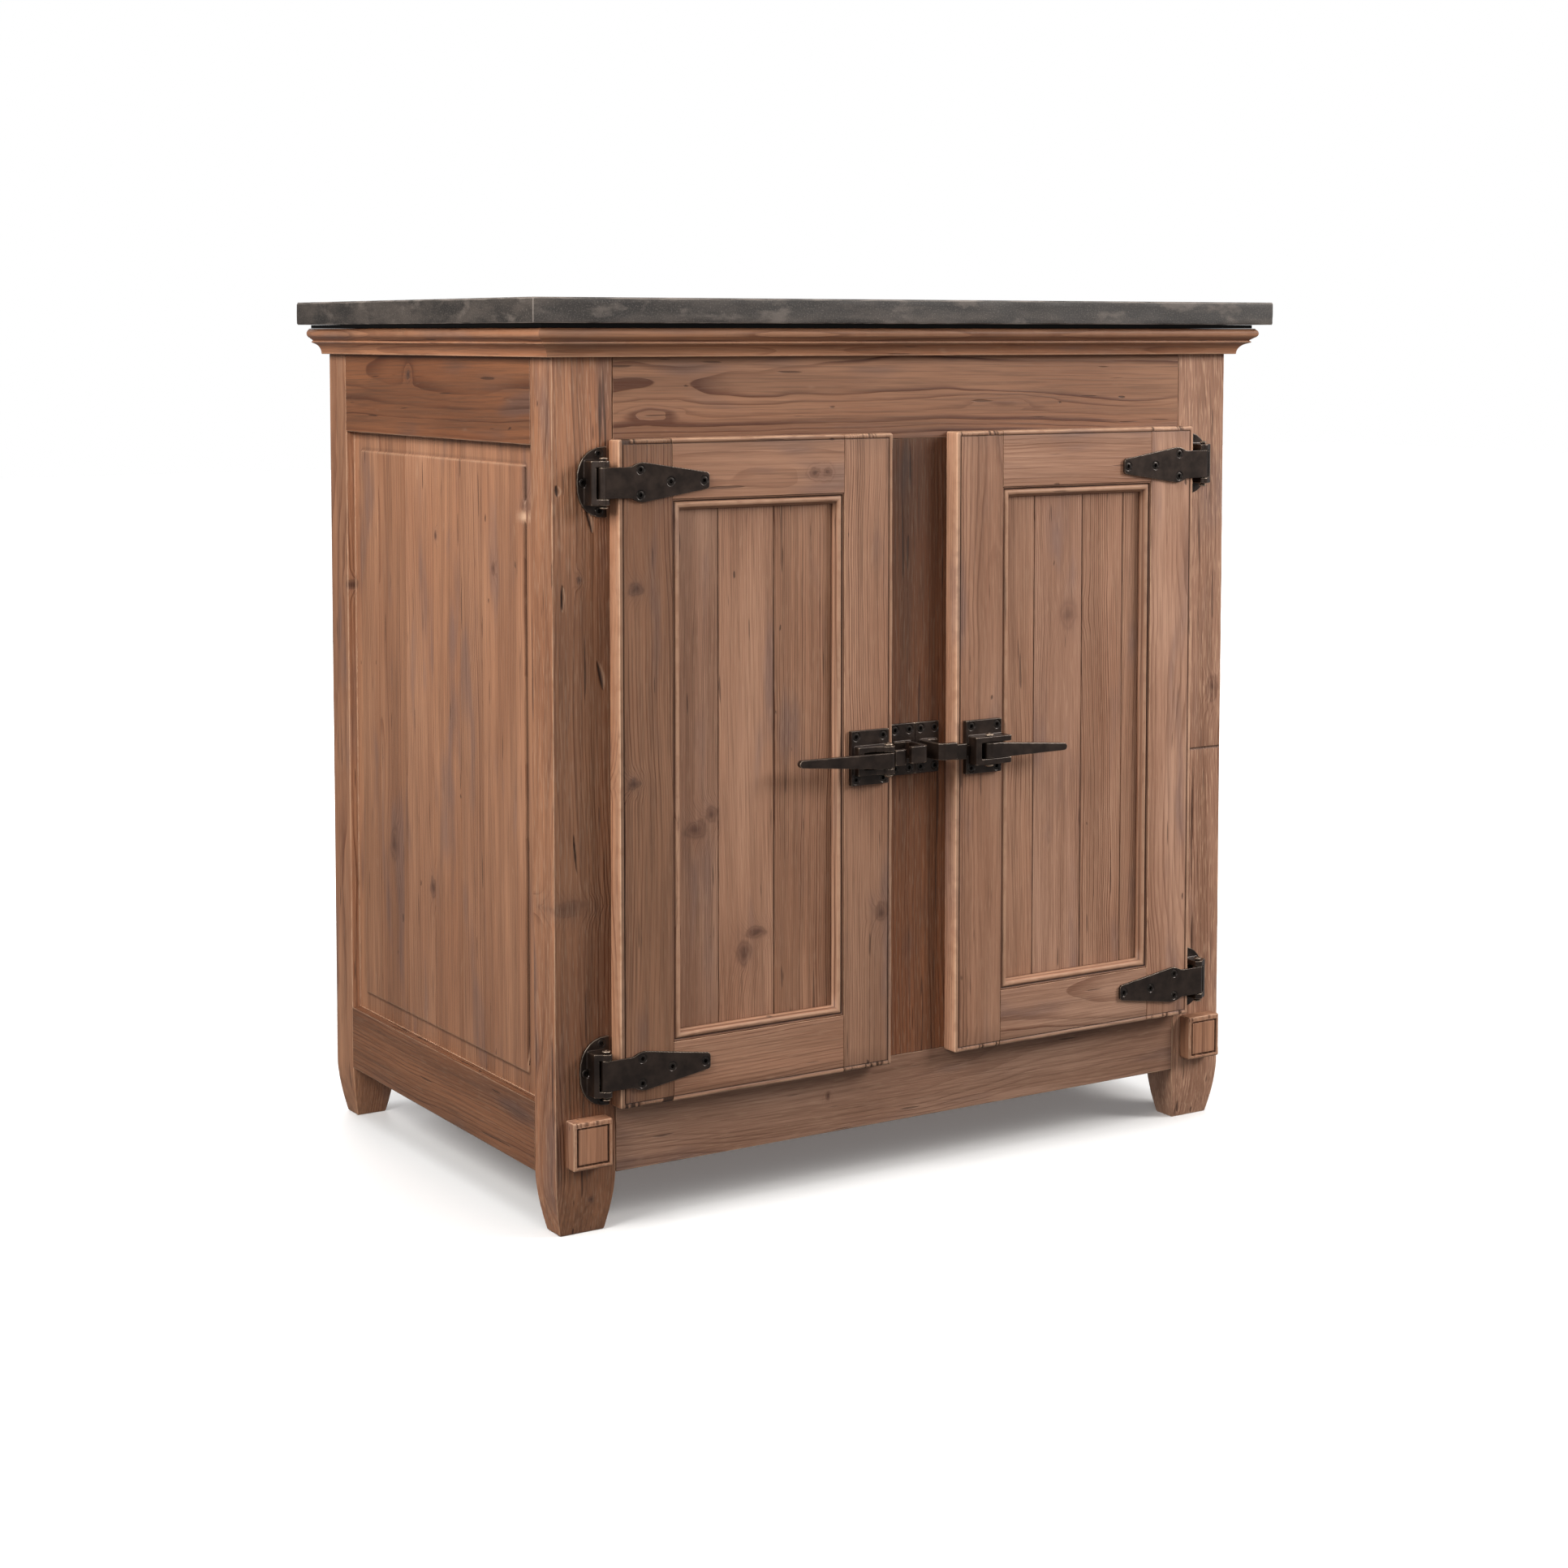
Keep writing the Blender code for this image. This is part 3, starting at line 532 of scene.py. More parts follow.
def knot_group():
    """Group: how much the rings bend round a knot at a point, the knot's mask, and its dark rings."""
    vectors = dict.fromkeys(("Point", "Middle", "Shrink"), "Vector")
    floats = dict.fromkeys(("Bend", "Mask", "Ring"), "Float")
    group, graph, given = new_group("knot", vectors, floats)
    away = graph.vector("SUBTRACT", given["Point"], given["Middle"])
    away = graph.vector("MULTIPLY", away, given["Shrink"])
    place = graph.vector("ADD", away, graph.scaled(given["Middle"], 91.0, 57.0, 73.0))
    uneven = graph.vector("SUBTRACT", graph.noise(place, 0.9, 1.0, 0.5, True), (0.5, 0.5, 0.5))
    far = graph.vector("LENGTH", graph.vector("ADD", away, uneven))
    bend = graph.math("POWER", 2.718, graph.times(graph.math("POWER", far, 2.0), -0.28))
    mask = graph.step(far, 1.38, 0.62)
    ring = graph.line(graph.math("SINE", graph.times(far, 15.0)), 0.5, 0.5)
    rim = graph.times(graph.step(far, 0.72, 0.96), graph.step(far, 1.26, 1.10))
    heart = graph.step(far, 0.80, 0.08, 0.0, 0.80)
    ring = graph.larger(graph.times(ring, 0.3), graph.larger(graph.times(rim, 0.75), heart))
    graph.add("NodeGroupOutput", {"Bend": bend, "Mask": mask, "Ring": ring})
    return group


PINE_OUTPUTS = ("Late", "Fibre", "Streak", "Blotch", "Smudge", "Scuff", "Fleck", "Height")


def pine_group():
    """Group: pine grain from grain coordinates in metres."""
    inputs = {"Grain": "Vector", "Bend": "Float", "Ridge": "Float", "Spacing": "Float"}
    group, graph, given = new_group("pine_grain", inputs, dict.fromkeys(PINE_OUTPUTS, "Float"))
    grain, ridge = given["Grain"], given["Ridge"]

    def stretched(along, across, detail=1.0, rough=0.5, many=False):
        return graph.noise(graph.scaled(grain, along, across, across), 1.0, detail, rough, many)

    def swayed(along, across, reach):
        swing = graph.vector("SUBTRACT", stretched(along, across, 1.0, 0.4, True), (0.5, 0.5, 0.5))
        return graph.scaled(swing, 0.0, reach, reach)

    bent = graph.vector("ADD", grain, swayed(3.2, 6.0, 0.024))
    bent = graph.vector("ADD", bent, swayed(16.0, 30.0, 0.0030))
    radius = graph.vector("LENGTH", graph.scaled(bent, 0.0, 1.0, 1.0))
    radius = graph.plus(radius, graph.times(given["Bend"], 0.010))
    phase = graph.math("DIVIDE", radius, graph.times(given["Spacing"], 0.0046))
    uneven = graph.noise(graph.joined(radius, 0.0, 0.0), 70.0, 1.0)
    phase = graph.plus(phase, graph.times(uneven, 3.0))
    share = graph.math("FRACT", phase)
    late = graph.times(graph.step(share, 0.48, 0.94), graph.step(share, 1.0, 0.96))
    ring = {"W": graph.math("FLOOR", phase)}
    strength = graph.add("ShaderNodeTexWhiteNoise", ring, noise_dimensions="1D").outputs["Value"]
    late = graph.times(late, graph.line(strength, 0.8, 0.2))
    late = graph.times(late, graph.step(stretched(5.0, 16.0), 0.32, 0.60, 0.30, 1.0))
    fibre = stretched(11.0, 520.0, 2.0, 0.6)
    pits = {"Vector": graph.scaled(grain, 24.0, 60.0, 60.0), "Scale": 1.0}
    pits = graph.add("ShaderNodeTexVoronoi", pits).outputs
    near = graph.plus(pits["Distance"], graph.times(stretched(120.0, 420.0), 0.22))
    rare = graph.step(graph.parts(pits["Color"])[0], 0.86, 0.88)
    pit = graph.times(graph.step(near, 0.20, 0.15), rare)
    dash = graph.step(stretched(13.0, 210.0), 0.720, 0.760, 0.0, 0.80)
    crack = graph.times(graph.step(stretched(5.0, 170.0), 0.69, 0.74), graph.step(ridge, 0.35, 0.8))
    fleck = graph.larger(graph.larger(pit, dash), crack)
    saw = graph.times(late, graph.line(ridge, 1.2, 0.15))
    fuzz = graph.times(fibre, graph.line(ridge, 1.3, 0.20))
    scuff = graph.step(stretched(24.0, 90.0, 2.0, 0.6), 0.67, 0.78, 0.0, 0.16)
    hairs = graph.times(graph.step(stretched(48.0, 620.0), 0.52, 0.70, 0.0, 0.42), ridge)
    found = (
        late, fibre, stretched(1.7, 62.0, 2.0, 0.55), stretched(3.6, 13.0, 2.0),
        stretched(5.5, 26.0, 2.0, 0.6), graph.larger(scuff, hairs), fleck,
        graph.math("SUBTRACT", graph.plus(saw, fuzz), graph.times(fleck, 0.8)),
    )
    graph.add("NodeGroupOutput", dict(zip(PINE_OUTPUTS, found)))
    return group


WARM_LIGHT = colour(0.455, 0.222, 0.122)
WARM_DARK = colour(0.350, 0.158, 0.083)
GREY_LIGHT = colour(0.405, 0.234, 0.158)
GREY_DARK = colour(0.305, 0.158, 0.100)
# red tint: the boards' own redder wood, and on the centre stile the painted reddish cast of its shade
RED_STAIN_AND_SHADE = colour(1.0, 0.80, 0.64)
STREAK_DARK = colour(0.185, 0.085, 0.047)
SMUDGE = colour(0.185, 0.112, 0.094)
LATE_STAIN = colour(0.37, 0.25, 0.20)
FIBRE_DARK = colour(0.165, 0.080, 0.046)
KNOT_HEART = colour(0.190, 0.092, 0.058)
KNOT_RIM = colour(0.050, 0.019, 0.013)
KNOT_HALO = colour(0.235, 0.118, 0.075)
FLECK = colour(0.045, 0.021, 0.014)
BARE = colour(0.555, 0.345, 0.225)
# dark in grooves, seams, cracks, scars and furrows: dirt, and painted shade where these hollows are
# shaded
GRIME_AND_SHADE = colour(0.045, 0.021, 0.013)
BRONZE_LOW = colour(0.022, 0.0135, 0.0100)
BRONZE_HIGH = colour(0.046, 0.0290, 0.0215)
SCREW_LOW = colour(0.008, 0.0055, 0.0045)
SCREW_HIGH = colour(0.018, 0.012, 0.010)
RUBBED_AND_HIGHLIGHT = colour(0.42, 0.325, 0.245)
SOOT_AND_SHADE = colour(0.007, 0.005, 0.004)
STONE_LOW = colour(0.021, 0.0170, 0.0145)
STONE_HIGH = colour(0.076, 0.060, 0.050)
STONE_VEIL = colour(0.150, 0.122, 0.104)
STONE_SPECK = colour(0.19, 0.160, 0.138)
STONE_ARRIS = colour(0.32, 0.27, 0.235)
BLACK_LOW = colour(0.006, 0.006, 0.006)
BLACK_HIGH = colour(0.018, 0.017, 0.016)
WHITE = colour(1, 1, 1)

KNOT = knot_group()
PINE = pine_group()


def pine_material(name, knots=()):
    """Aged waxed pine. knots are (middle in the frame, half sizes, how strongly it shows)."""
    material, graph, shader = new_material(name, Specular_IOR_Level=0.30)
    point = graph.point()
    tone = graph.parts(graph.attribute("tone"))
    cut = graph.parts(graph.attribute("cut"))
    # wear holds rub, dirt with painted shade, and painted light
    wear = graph.parts(graph.attribute("wear"))
    bend, mask, ring = 0.0, 0.0, 0.0
    for middle, size, strength in knots:
        values = {"Point": point, "Middle": middle, "Shrink": [1 / s for s in size]}
        knot = graph.add("ShaderNodeGroup", values, node_tree=KNOT).outputs
        bend = graph.plus(knot["Bend"], bend)
        mask = graph.larger(graph.times(knot["Mask"], strength), mask)
        ring = graph.larger(graph.times(knot["Ring"], knot["Mask"]), ring)
    values = {"Grain": graph.attribute("grain"), "Bend": bend, "Ridge": tone[2], "Spacing": cut[1]}
    pine = graph.add("ShaderNodeGroup", values, node_tree=PINE)
    late, fibre, streak, blotch, smudge, scuff, fleck, height = pine.outputs
    patch = graph.step(blotch, 0.30, 0.70)
    warm = graph.mix(patch, WARM_DARK, WARM_LIGHT)
    grey = graph.mix(patch, GREY_DARK, GREY_LIGHT)
    base = graph.mix(tone[1], warm, grey)
    # negative greyness tints the wood red: own colour, and painted reddish shade on the centre stile
    base = graph.mix(graph.times(tone[1], -1.0), base, RED_STAIN_AND_SHADE, "MULTIPLY")
    base = graph.layered(
        base,
        (graph.step(streak, 0.34, 0.62, 0.42, 0.0), STREAK_DARK),
        (graph.step(smudge, 0.54, 0.74, 0.0, 0.62), SMUDGE),
    )
    base = graph.mix(graph.times(late, cut[0]), base, LATE_STAIN, "MULTIPLY")
    rub = graph.step(graph.noise(graph.scaled(point, 70.0)), 0.34, 0.58, 0.50, 1.0)
    base = graph.layered(
        base,
        (graph.step(fibre, 0.42, 0.72, 0.0, 0.50), FIBRE_DARK),
        (graph.times(graph.math("MINIMUM", bend, 1.0), 0.40), KNOT_HALO),
        (graph.times(mask, 0.85), graph.mix(ring, KNOT_HEART, KNOT_RIM)),
        (scuff, BARE),
        (graph.times(fleck, 0.75), FLECK),
        (graph.times(wear[0], rub), BARE),
        # dirt and painted shade in the hollows
        (graph.times(wear[1], 0.92), GRIME_AND_SHADE),
    )
    # painted light and shade: the third channel of wear makes the wood lighter or darker
    light = graph.times(tone[0], graph.plus(wear[2], 1.0))
    base = graph.mix(1.0, base, graph.joined(light, light, light), "MULTIPLY")
    rough = graph.plus(graph.line(blotch, 0.16, 0.48), graph.times(late, -0.06))
    graph.surface(shader, base, rough, height, 0.7, 0.0008)
    return material


def bronze_material(name, low, high, worn):
    """Oil-rubbed bronze: dark and satin under a thin lacquer, rubbed brighter on its edges, which also
    paints a highlight along them.
    """
    constants = {"Metallic": 0.65, "Specular_IOR_Level": 0.4, "Coat_Weight": 0.30, "Coat_Roughness": 0.20}
    material, graph, shader = new_material(name, **constants)
    point = graph.point()
    cloudy = graph.noise(graph.scaled(point, 55.0), 1.0, 3.0, 0.6)
    fine = graph.noise(graph.scaled(point, 900.0), 1.0, 2.0, 0.6)
    sunk = graph.parts(graph.attribute("wear"))[0]
    sharp = graph.add("ShaderNodeNewGeometry").outputs["Pointiness"]
    # sharp edges rubbed bright: real wear, and a painted highlight
    rub = graph.times(graph.step(sharp, 0.515, 0.570), graph.step(cloudy, 0.30, 0.60, 0.25, 1.0))
    base = graph.layered(
        low,
        (graph.step(cloudy, 0.30, 0.72), high),
        (graph.times(rub, graph.step(sunk, 0.0, 1.0, worn, 0.35 * worn)), RUBBED_AND_HIGHLIGHT),
        # painted shade in the screw recesses, and soot in the hollows of the casting
        (graph.times(sunk, 0.4), SOOT_AND_SHADE),
        (graph.step(sharp, 0.488, 0.43, 0.0, 0.8), SOOT_AND_SHADE),
    )
    rough = graph.plus(graph.line(cloudy, 0.18, 0.22), graph.times(fine, 0.08))
    height = graph.plus(graph.times(fine, 0.4), graph.times(cloudy, 0.6))
    graph.surface(shader, base, rough, height, 0.25, 0.0004)
    return material


def stone_material():
    """Honed dark grey stone, cloudy, with a fine speckle and pale worn arrises."""
    material, graph, shader = new_material("stone", Specular_IOR_Level=0.45)
    point = graph.point()
    wear = graph.parts(graph.attribute("wear"))[0]
    cloud = graph.noise(graph.scaled(point, 9.0, 12.0, 34.0), 1.0, 4.0, 0.62)
    veil = graph.noise(graph.scaled(point, 26.0, 26.0, 60.0), 1.0, 3.0, 0.6)
    speck = graph.noise(graph.scaled(point, 650.0), 1.0, 2.0, 0.7)
    base = graph.layered(
        STONE_LOW,
        (graph.step(cloud, 0.36, 0.68), STONE_HIGH),
        (graph.step(veil, 0.54, 0.72, 0.0, 0.62), STONE_VEIL),
        (graph.step(speck, 0.50, 0.72, 0.0, 0.45), STONE_SPECK),
        (graph.times(wear, graph.step(veil, 0.35, 0.6, 0.2, 0.8)), STONE_ARRIS),
    )
    height = graph.plus(graph.times(speck, 0.4), graph.times(veil, 0.7))
    graph.surface(shader, base, graph.line(veil, 0.16, 0.50), height, 0.4, 0.0006)
    return material


def black_material():
    """Black painted board under the slab, with faint brush marks."""
    material, graph, shader = new_material("black_board", Specular_IOR_Level=0.3)
    brush = graph.noise(graph.scaled(graph.point(), 6.0, 200.0, 200.0))
    base = graph.mix(brush, BLACK_LOW, BLACK_HIGH)
    graph.surface(shader, base, graph.line(brush, 0.15, 0.55), brush, 0.3, 0.0003)
    return material


def knots_on(axis, face, through, rows):
    """Knots of one face. rows are (across, height, half width, half height, strength)."""
    found = []
    for across, height, wide, tall, strength in rows:
        middle, size = [across, height], [wide, tall]
        middle.insert(AXES[axis], face)
        size.insert(AXES[axis], through)
        found.append((middle, size, strength))
    return found


SIDE_KNOTS = (
    knots_on("x", -0.412, 0.05, (
        (0.1440, 0.3263, 0.0105, 0.0190, 0.9),
        (-0.1028, 0.6432, 0.0040, 0.0070, 1.0),
        (0.0462, 0.2961, 0.0065, 0.0110, 1.0),
        (0.0324, 0.6685, 0.0030, 0.0050, 1.0),
        (0.2440, 0.6011, 0.0050, 0.0055, 1.0),
        (0.0786, 0.8350, 0.0050, 0.0050, 1.0),
        (-0.1715, 0.7110, 0.0090, 0.0070, 0.7),
    ))
    + knots_on("x", 0.412, 0.05, (
        (0.0900, 0.5450, 0.0065, 0.0120, 1.0),
        (-0.1150, 0.2680, 0.0090, 0.0160, 0.9),
    ))
    + knots_on("y", 0.2900, 0.05, (
        (0.1900, 0.5300, 0.0110, 0.0150, 0.9),
        (-0.0900, 0.2900, 0.0075, 0.0110, 1.0),
    ))
)
FRONT_KNOTS = knots_on("y", -0.2475, 0.03, (
    (-0.4033, 0.3247, 0.0190, 0.0080, 0.55),
    (-0.3791, 0.0340, 0.0030, 0.0035, 1.0),
    (0.4060, 0.4830, 0.0080, 0.0140, 1.0),
    (-0.3086, 0.8016, 0.0190, 0.0045, 0.0),  # these two only bend the rail's rings
    (0.1164, 0.8064, 0.0260, 0.0040, 0.0),
    (-0.3900, 0.6420, 0.0030, 0.0040, 1.0),
    (-0.1048, 0.0964, 0.0030, 0.0040, 1.0),
))
DOOR_KNOTS = (
    knots_on("y", -0.2685, 0.04, (
        (-0.3399, 0.6326, 0.0080, 0.0070, 1.0),
        (-0.3430, 0.4433, 0.0070, 0.0060, 1.0),
        (-0.1344, 0.7398, 0.0060, 0.0045, 1.0),
        (-0.1198, 0.7394, 0.0050, 0.0045, 1.0),
        (-0.0534, 0.2855, 0.0080, 0.0100, 1.0),
    ))
    + knots_on("y", -0.2595, 0.04, (
        (-0.2676, 0.3905, 0.0125, 0.0090, 1.0),
        (-0.2500, 0.4040, 0.0070, 0.0075, 1.0),
        (-0.2126, 0.2611, 0.0080, 0.0130, 1.0),
        (-0.1992, 0.2799, 0.0110, 0.0065, 1.0),
        (0.1931, 0.5781, 0.0125, 0.0150, 0.7),
    ))
)
SIDE_PINE = pine_material("pine_side", SIDE_KNOTS)
FRONT_PINE = pine_material("pine_front", FRONT_KNOTS)
DOOR_PINE = pine_material("pine_door", DOOR_KNOTS)
BRONZE = bronze_material("dark_bronze", BRONZE_LOW, BRONZE_HIGH, 0.9)
SCREW_STEEL = bronze_material("screw_black", SCREW_LOW, SCREW_HIGH, 0.08)
STONE = stone_material()
BLACK = black_material()


# ---- carcass ------------------------------------------------------------------------------------
def pressed(axis, where, depth, dirt_and_shade):
    """Shift and dirt, with painted shade, of a relief that is only on some of a board's points."""
    return along_axis(axis, np.where(where, depth, 0)), np.where(where, dirt_and_shade, 0)


def on_both_faces(points, low, high, near, dirt_and_shade):
    """Relief of the seams that show on a board's front and on its back."""
    front, back = on_side(points, "y", low[1]), on_side(points, "y", high[1])
    return pressed("y", front | back, np.where(front, near, -near) * SEAM_DEEP, dirt_and_shade)


def max_over(arrays):
    """The largest of several arrays, point by point."""
    return np.max(list(arrays), axis=0)


def columns(low, high, step):
    """Grid lines across x, a step apart."""
    return [low[0] + step * i for i in range(1, int((high[0] - low[0]) / step))]


def foot_taper(low, high):
    """Returns a function that draws the foot of a post in, along a curve."""
    ends = np.array([low, high], float)[:, :2]
    middle, half = (ends[0] + ends[1]) / 2, (ends[1] - ends[0]) / 2

    def shape(points):
        depth = np.clip(1 - points[:, 2] / FOOT_TOP, 0, 1) ** FOOT_CURVE * FOOT_TAPER
        result = points.copy()
        result[:, :2] = middle + (points[:, :2] - middle) * (1 - depth[:, None] / half)
        return result

    return shape


def post_shade(start, low, high):
    """Shade: the post's left side is pale, and its front is paler near its top and on its foot."""
    front = np.interp(start[:, 2], (0.0, 0.10, 0.16, 0.60, 0.80), (0.20, 0.20, 0.0, 0.0, 0.95))
    return np.where(on_side(start, "x", low[0]), 0.90, front)


def scarred(points, scars):
    """How deep a point lies in a scar, and how bare the wood is along the scar's right edge."""
    deep, bare = np.zeros(len(points)), np.zeros(len(points))
    for x, z, long, wide, lean in scars:
        along = (points[:, 2] - z) / long
        half = wide * np.clip(1 - along**2, 0, 1) + 1e-9
        off = (points[:, 0] - x - lean * (points[:, 2] - z)) / half
        inside = np.abs(along) < 1
        deep = np.maximum(deep, np.clip(1.7 - 1.4 * np.abs(off), 0, 1) * inside)
        bare = np.maximum(bare, np.clip(1 - np.abs(off - 1.8) / 0.8, 0, 1) * inside * (wide > 0.0013))
    return deep, bare


def posts():
    """Four posts whose faces are weathered along the grain, the right front one the most."""
    for node, (tone, ridge) in POST_LOOKS.items():
        low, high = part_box(node)
        scars = SCARS.get(node, ())
        split = SPLIT_AT if node == "post_front_right" else -1.0  # below the floor where there is none
        heights = [FOOT_TOP * i / 12 for i in range(1, 13)]
        heights += [split + d for d in (-0.0022, -0.0009, 0.0004, 0.0017)]
        for _, z, long, _, _ in scars:
            heights += [z + long * i / 6 for i in range(-6, 7)]

        def relief(points, low, high):
            rows = noise_along(points, (1, 1, 0.03), 0.0028, 8) + noise_at(points, 0.05, 2) * 0.5
            gap = np.clip(1.5 - np.abs(points[:, 2] - split) / 0.0012, 0, 1)
            deep, bare = scarred(points, scars)
            depth = np.clip(rows + 0.5, 0, 1) * ridge + gap * 0.0012 + deep * 0.0015
            dirt_and_shade = np.maximum(np.clip(rows - 0.40, 0, 1) * ridge * 1700, gap)
            dirt_and_shade = np.clip(np.maximum(dirt_and_shade, deep), 0, 1)
            dirt_and_shade = np.where((bare > 0.1) & (deep < 0.1), -bare, dirt_and_shade)
            return pressed("y", on_side(points, "y", low[1]), depth, dirt_and_shade)

        board(
            node, "z", "y", tone, FRONT_PINE if "front" in node else SIDE_PINE, {"z": (SOFT, TIGHT)},
            wear=0.7, step=0.010, extra={"x": columns(low, high, RIDGE_STEP), "z": heights},
            relief=relief, pith=(0.11, 0.03), tilt=0.012, contrast=0.9, spacing=0.8,
            shape=foot_taper(low, high), shade=post_shade if node == "post_front_left" else None,
        )


def frame_rails():
    soft_foot = {**ALL_TIGHT, "z": (SOFT, TIGHT)}
    soft_both = {**ALL_TIGHT, "z": (SOFT, SOFT)}
    board("front_top_rail", "x", "y", (0.79, 0.0, 0.12), FRONT_PINE, ALL_TIGHT,
          wear=0.2, pith=(0.004, 0.034), tilt=0.010, contrast=1.3)
    board("front_bottom_rail", "x", "y", (0.86, 1.0, 0.40), FRONT_PINE, soft_foot,
          pith=(0.05, 0.09), tilt=0.01)
    # painted shadow: the centre stile is darker and redder towards its top, where the doors shade it; its
    # low lightness and full red tint are its own darker wood and painted shade together
    board("centre_stile", "z", "y", (0.52, -1.0, 0.7), FRONT_PINE, ALL_TIGHT,
          pith=(0.12, 0.02), tilt=0.004, shade=lambda start, low, high: 0.30 - 0.98 * start[:, 2])
    for word in ("left", "right"):
        board(f"side_top_rail_{word}", "y", "x", (0.61, -1.0, 0.1), SIDE_PINE, soft_foot,
              pith=(0.02, 0.05), tilt=0.02)
        board(f"side_bottom_rail_{word}", "y", "x", (0.57, -0.70, 0.4), SIDE_PINE, soft_both,
              pith=(0.10, 0.06), tilt=0.01)
    board("back_top_rail", "x", "y", BACK_TONE, SIDE_PINE, ALL_TIGHT)
    board("back_bottom_rail", "x", "y", BACK_TONE, SIDE_PINE, soft_foot)


def side_panels():
    """Glued upright planks with a raised field, soft at its edge, and a dry crack beside the post."""
    for word, side in (("left", -1), ("right", 1)):
        node = f"side_panel_{word}"
        low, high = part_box(node)
        face = low[0] if side < 0 else high[0]
        field_low = np.array([CRACK_AT - 0.0010, low[2] + FIELD_MARGIN])
        field_high = np.array([high[1] - FIELD_MARGIN, high[2] - FIELD_MARGIN])
        half, middle = (field_high - field_low) / 2, (field_high + field_low) / 2

        def relief(points, low, high):
            y, z = points[:, 1], points[:, 2]
            at = np.abs(points[:, 1:3] - middle) - half + FIELD_CORNER
            outside = np.sqrt((np.maximum(at, 0) ** 2).sum(1)) + np.minimum(at.max(1), 0) - FIELD_CORNER
            rise = np.clip(0.5 - outside / 0.0026, 0, 1)
            depth = (1 - rise * rise * (3 - 2 * rise)) * FIELD_RISE
            dirt_and_shade = np.exp(-((outside - 0.0016) / 0.0010) ** 2) * 0.5
            for seam in SIDE_SEAMS:
                near = line_at(y, seam, SEAM_WIDE)
                depth = depth + near * SEAM_DEEP * 0.6
                dirt_and_shade = np.maximum(dirt_and_shade, near * 0.45)
            tall = (z < field_high[1] - 0.002) & (z > field_low[1] + 0.010)
            past_knot = np.clip((np.abs(z - CRACK_KNOT) - 0.010) / 0.003, 0, 1)
            crack = line_at(y, CRACK_AT, CRACK_WIDE) * tall * past_knot
            depth = depth + crack * CRACK_DEEP
            chip = np.hypot((y - CRACK_AT - 0.001) / 0.009, (z - CRACK_KNOT + 0.005) / 0.006)
            bare = np.exp(-((outside + 0.0010) / 0.0009) ** 2) * 0.42
            bare = np.maximum(bare, np.clip(1.3 - chip, 0, 1))
            dirt_and_shade = np.where(crack > 0, crack, np.where(dirt_and_shade > 0.1, dirt_and_shade, -bare))
            return pressed("x", on_side(points, "x", face), -side * depth, dirt_and_shade)

        ys = [y for seam in SIDE_SEAMS for y in line_points(seam, SEAM_WIDE)]
        ys += [edge + d for edge in (field_low[0], field_high[0]) for d in FIELD_LINES_Y]
        ys += line_points(CRACK_AT, CRACK_WIDE)
        zs = [CRACK_KNOT + d * 0.003 for d in range(-6, 7)]
        zs += [edge + d for edge in (field_low[1], field_high[1]) for d in FIELD_LINES_Z]
        # painted light: the panels are lighter towards their top and darker towards their foot, as under
        # light from above
        board(
            node, "z", "x", (1.05, 0.0, 0.15), SIDE_PINE, ALL_TIGHT, wear=0.1, step=0.014,
            extra={"y": ys, "z": zs}, relief=relief, seams=SIDE_SEAMS, planks=SIDE_PLANKS,
            spacing=0.75, shade=lambda start, low, high: (start[:, 2] - 0.50) * 0.36,
        )


def inside_boards():
    board("floor_board", "x", "z", (0.85, 0.4, 0.2), SIDE_PINE, ALL_TIGHT, seams=(-0.12, 0.02, 0.15))
    board("shelf", "x", "z", (0.9, 0.4, 0.2), SIDE_PINE, ALL_TIGHT, seams=(-0.11, 0.03, 0.16))

    def relief(points, low, high):
        near = max_over(line_at(points[:, 0], seam, BACK_SEAM_WIDE, 1) for seam in BACK_SEAMS)
        return on_both_faces(points, low, high, near, near * 0.8)

    lines = [seam + BACK_SEAM_WIDE * d for seam in BACK_SEAMS for d in (-0.5, 0.0, 0.5)]
    board("back_panel", "z", "y", (0.96, 0.35, 0.35), SIDE_PINE, ALL_TIGHT, extra={"x": lines},
          relief=relief, seams=BACK_SEAMS, step=0.016)


def arc(x, z, radius, start, stop, steps):
    turns = [math.radians(start + (stop - start) * i / steps) for i in range(steps + 1)]
    return [(x + radius * math.cos(t), z + radius * math.sin(t)) for t in turns]


def ring_marks(size, count, rub, dirt_and_shade):
    """Wear for count equal rings of size points; rub, and dirt with painted shade, say which points of a
    ring are marked.
    """
    ring = [(rub.get(i, 0), dirt_and_shade.get(i, 0), 0) for i in range(size)]
    return np.array(ring * count, float)


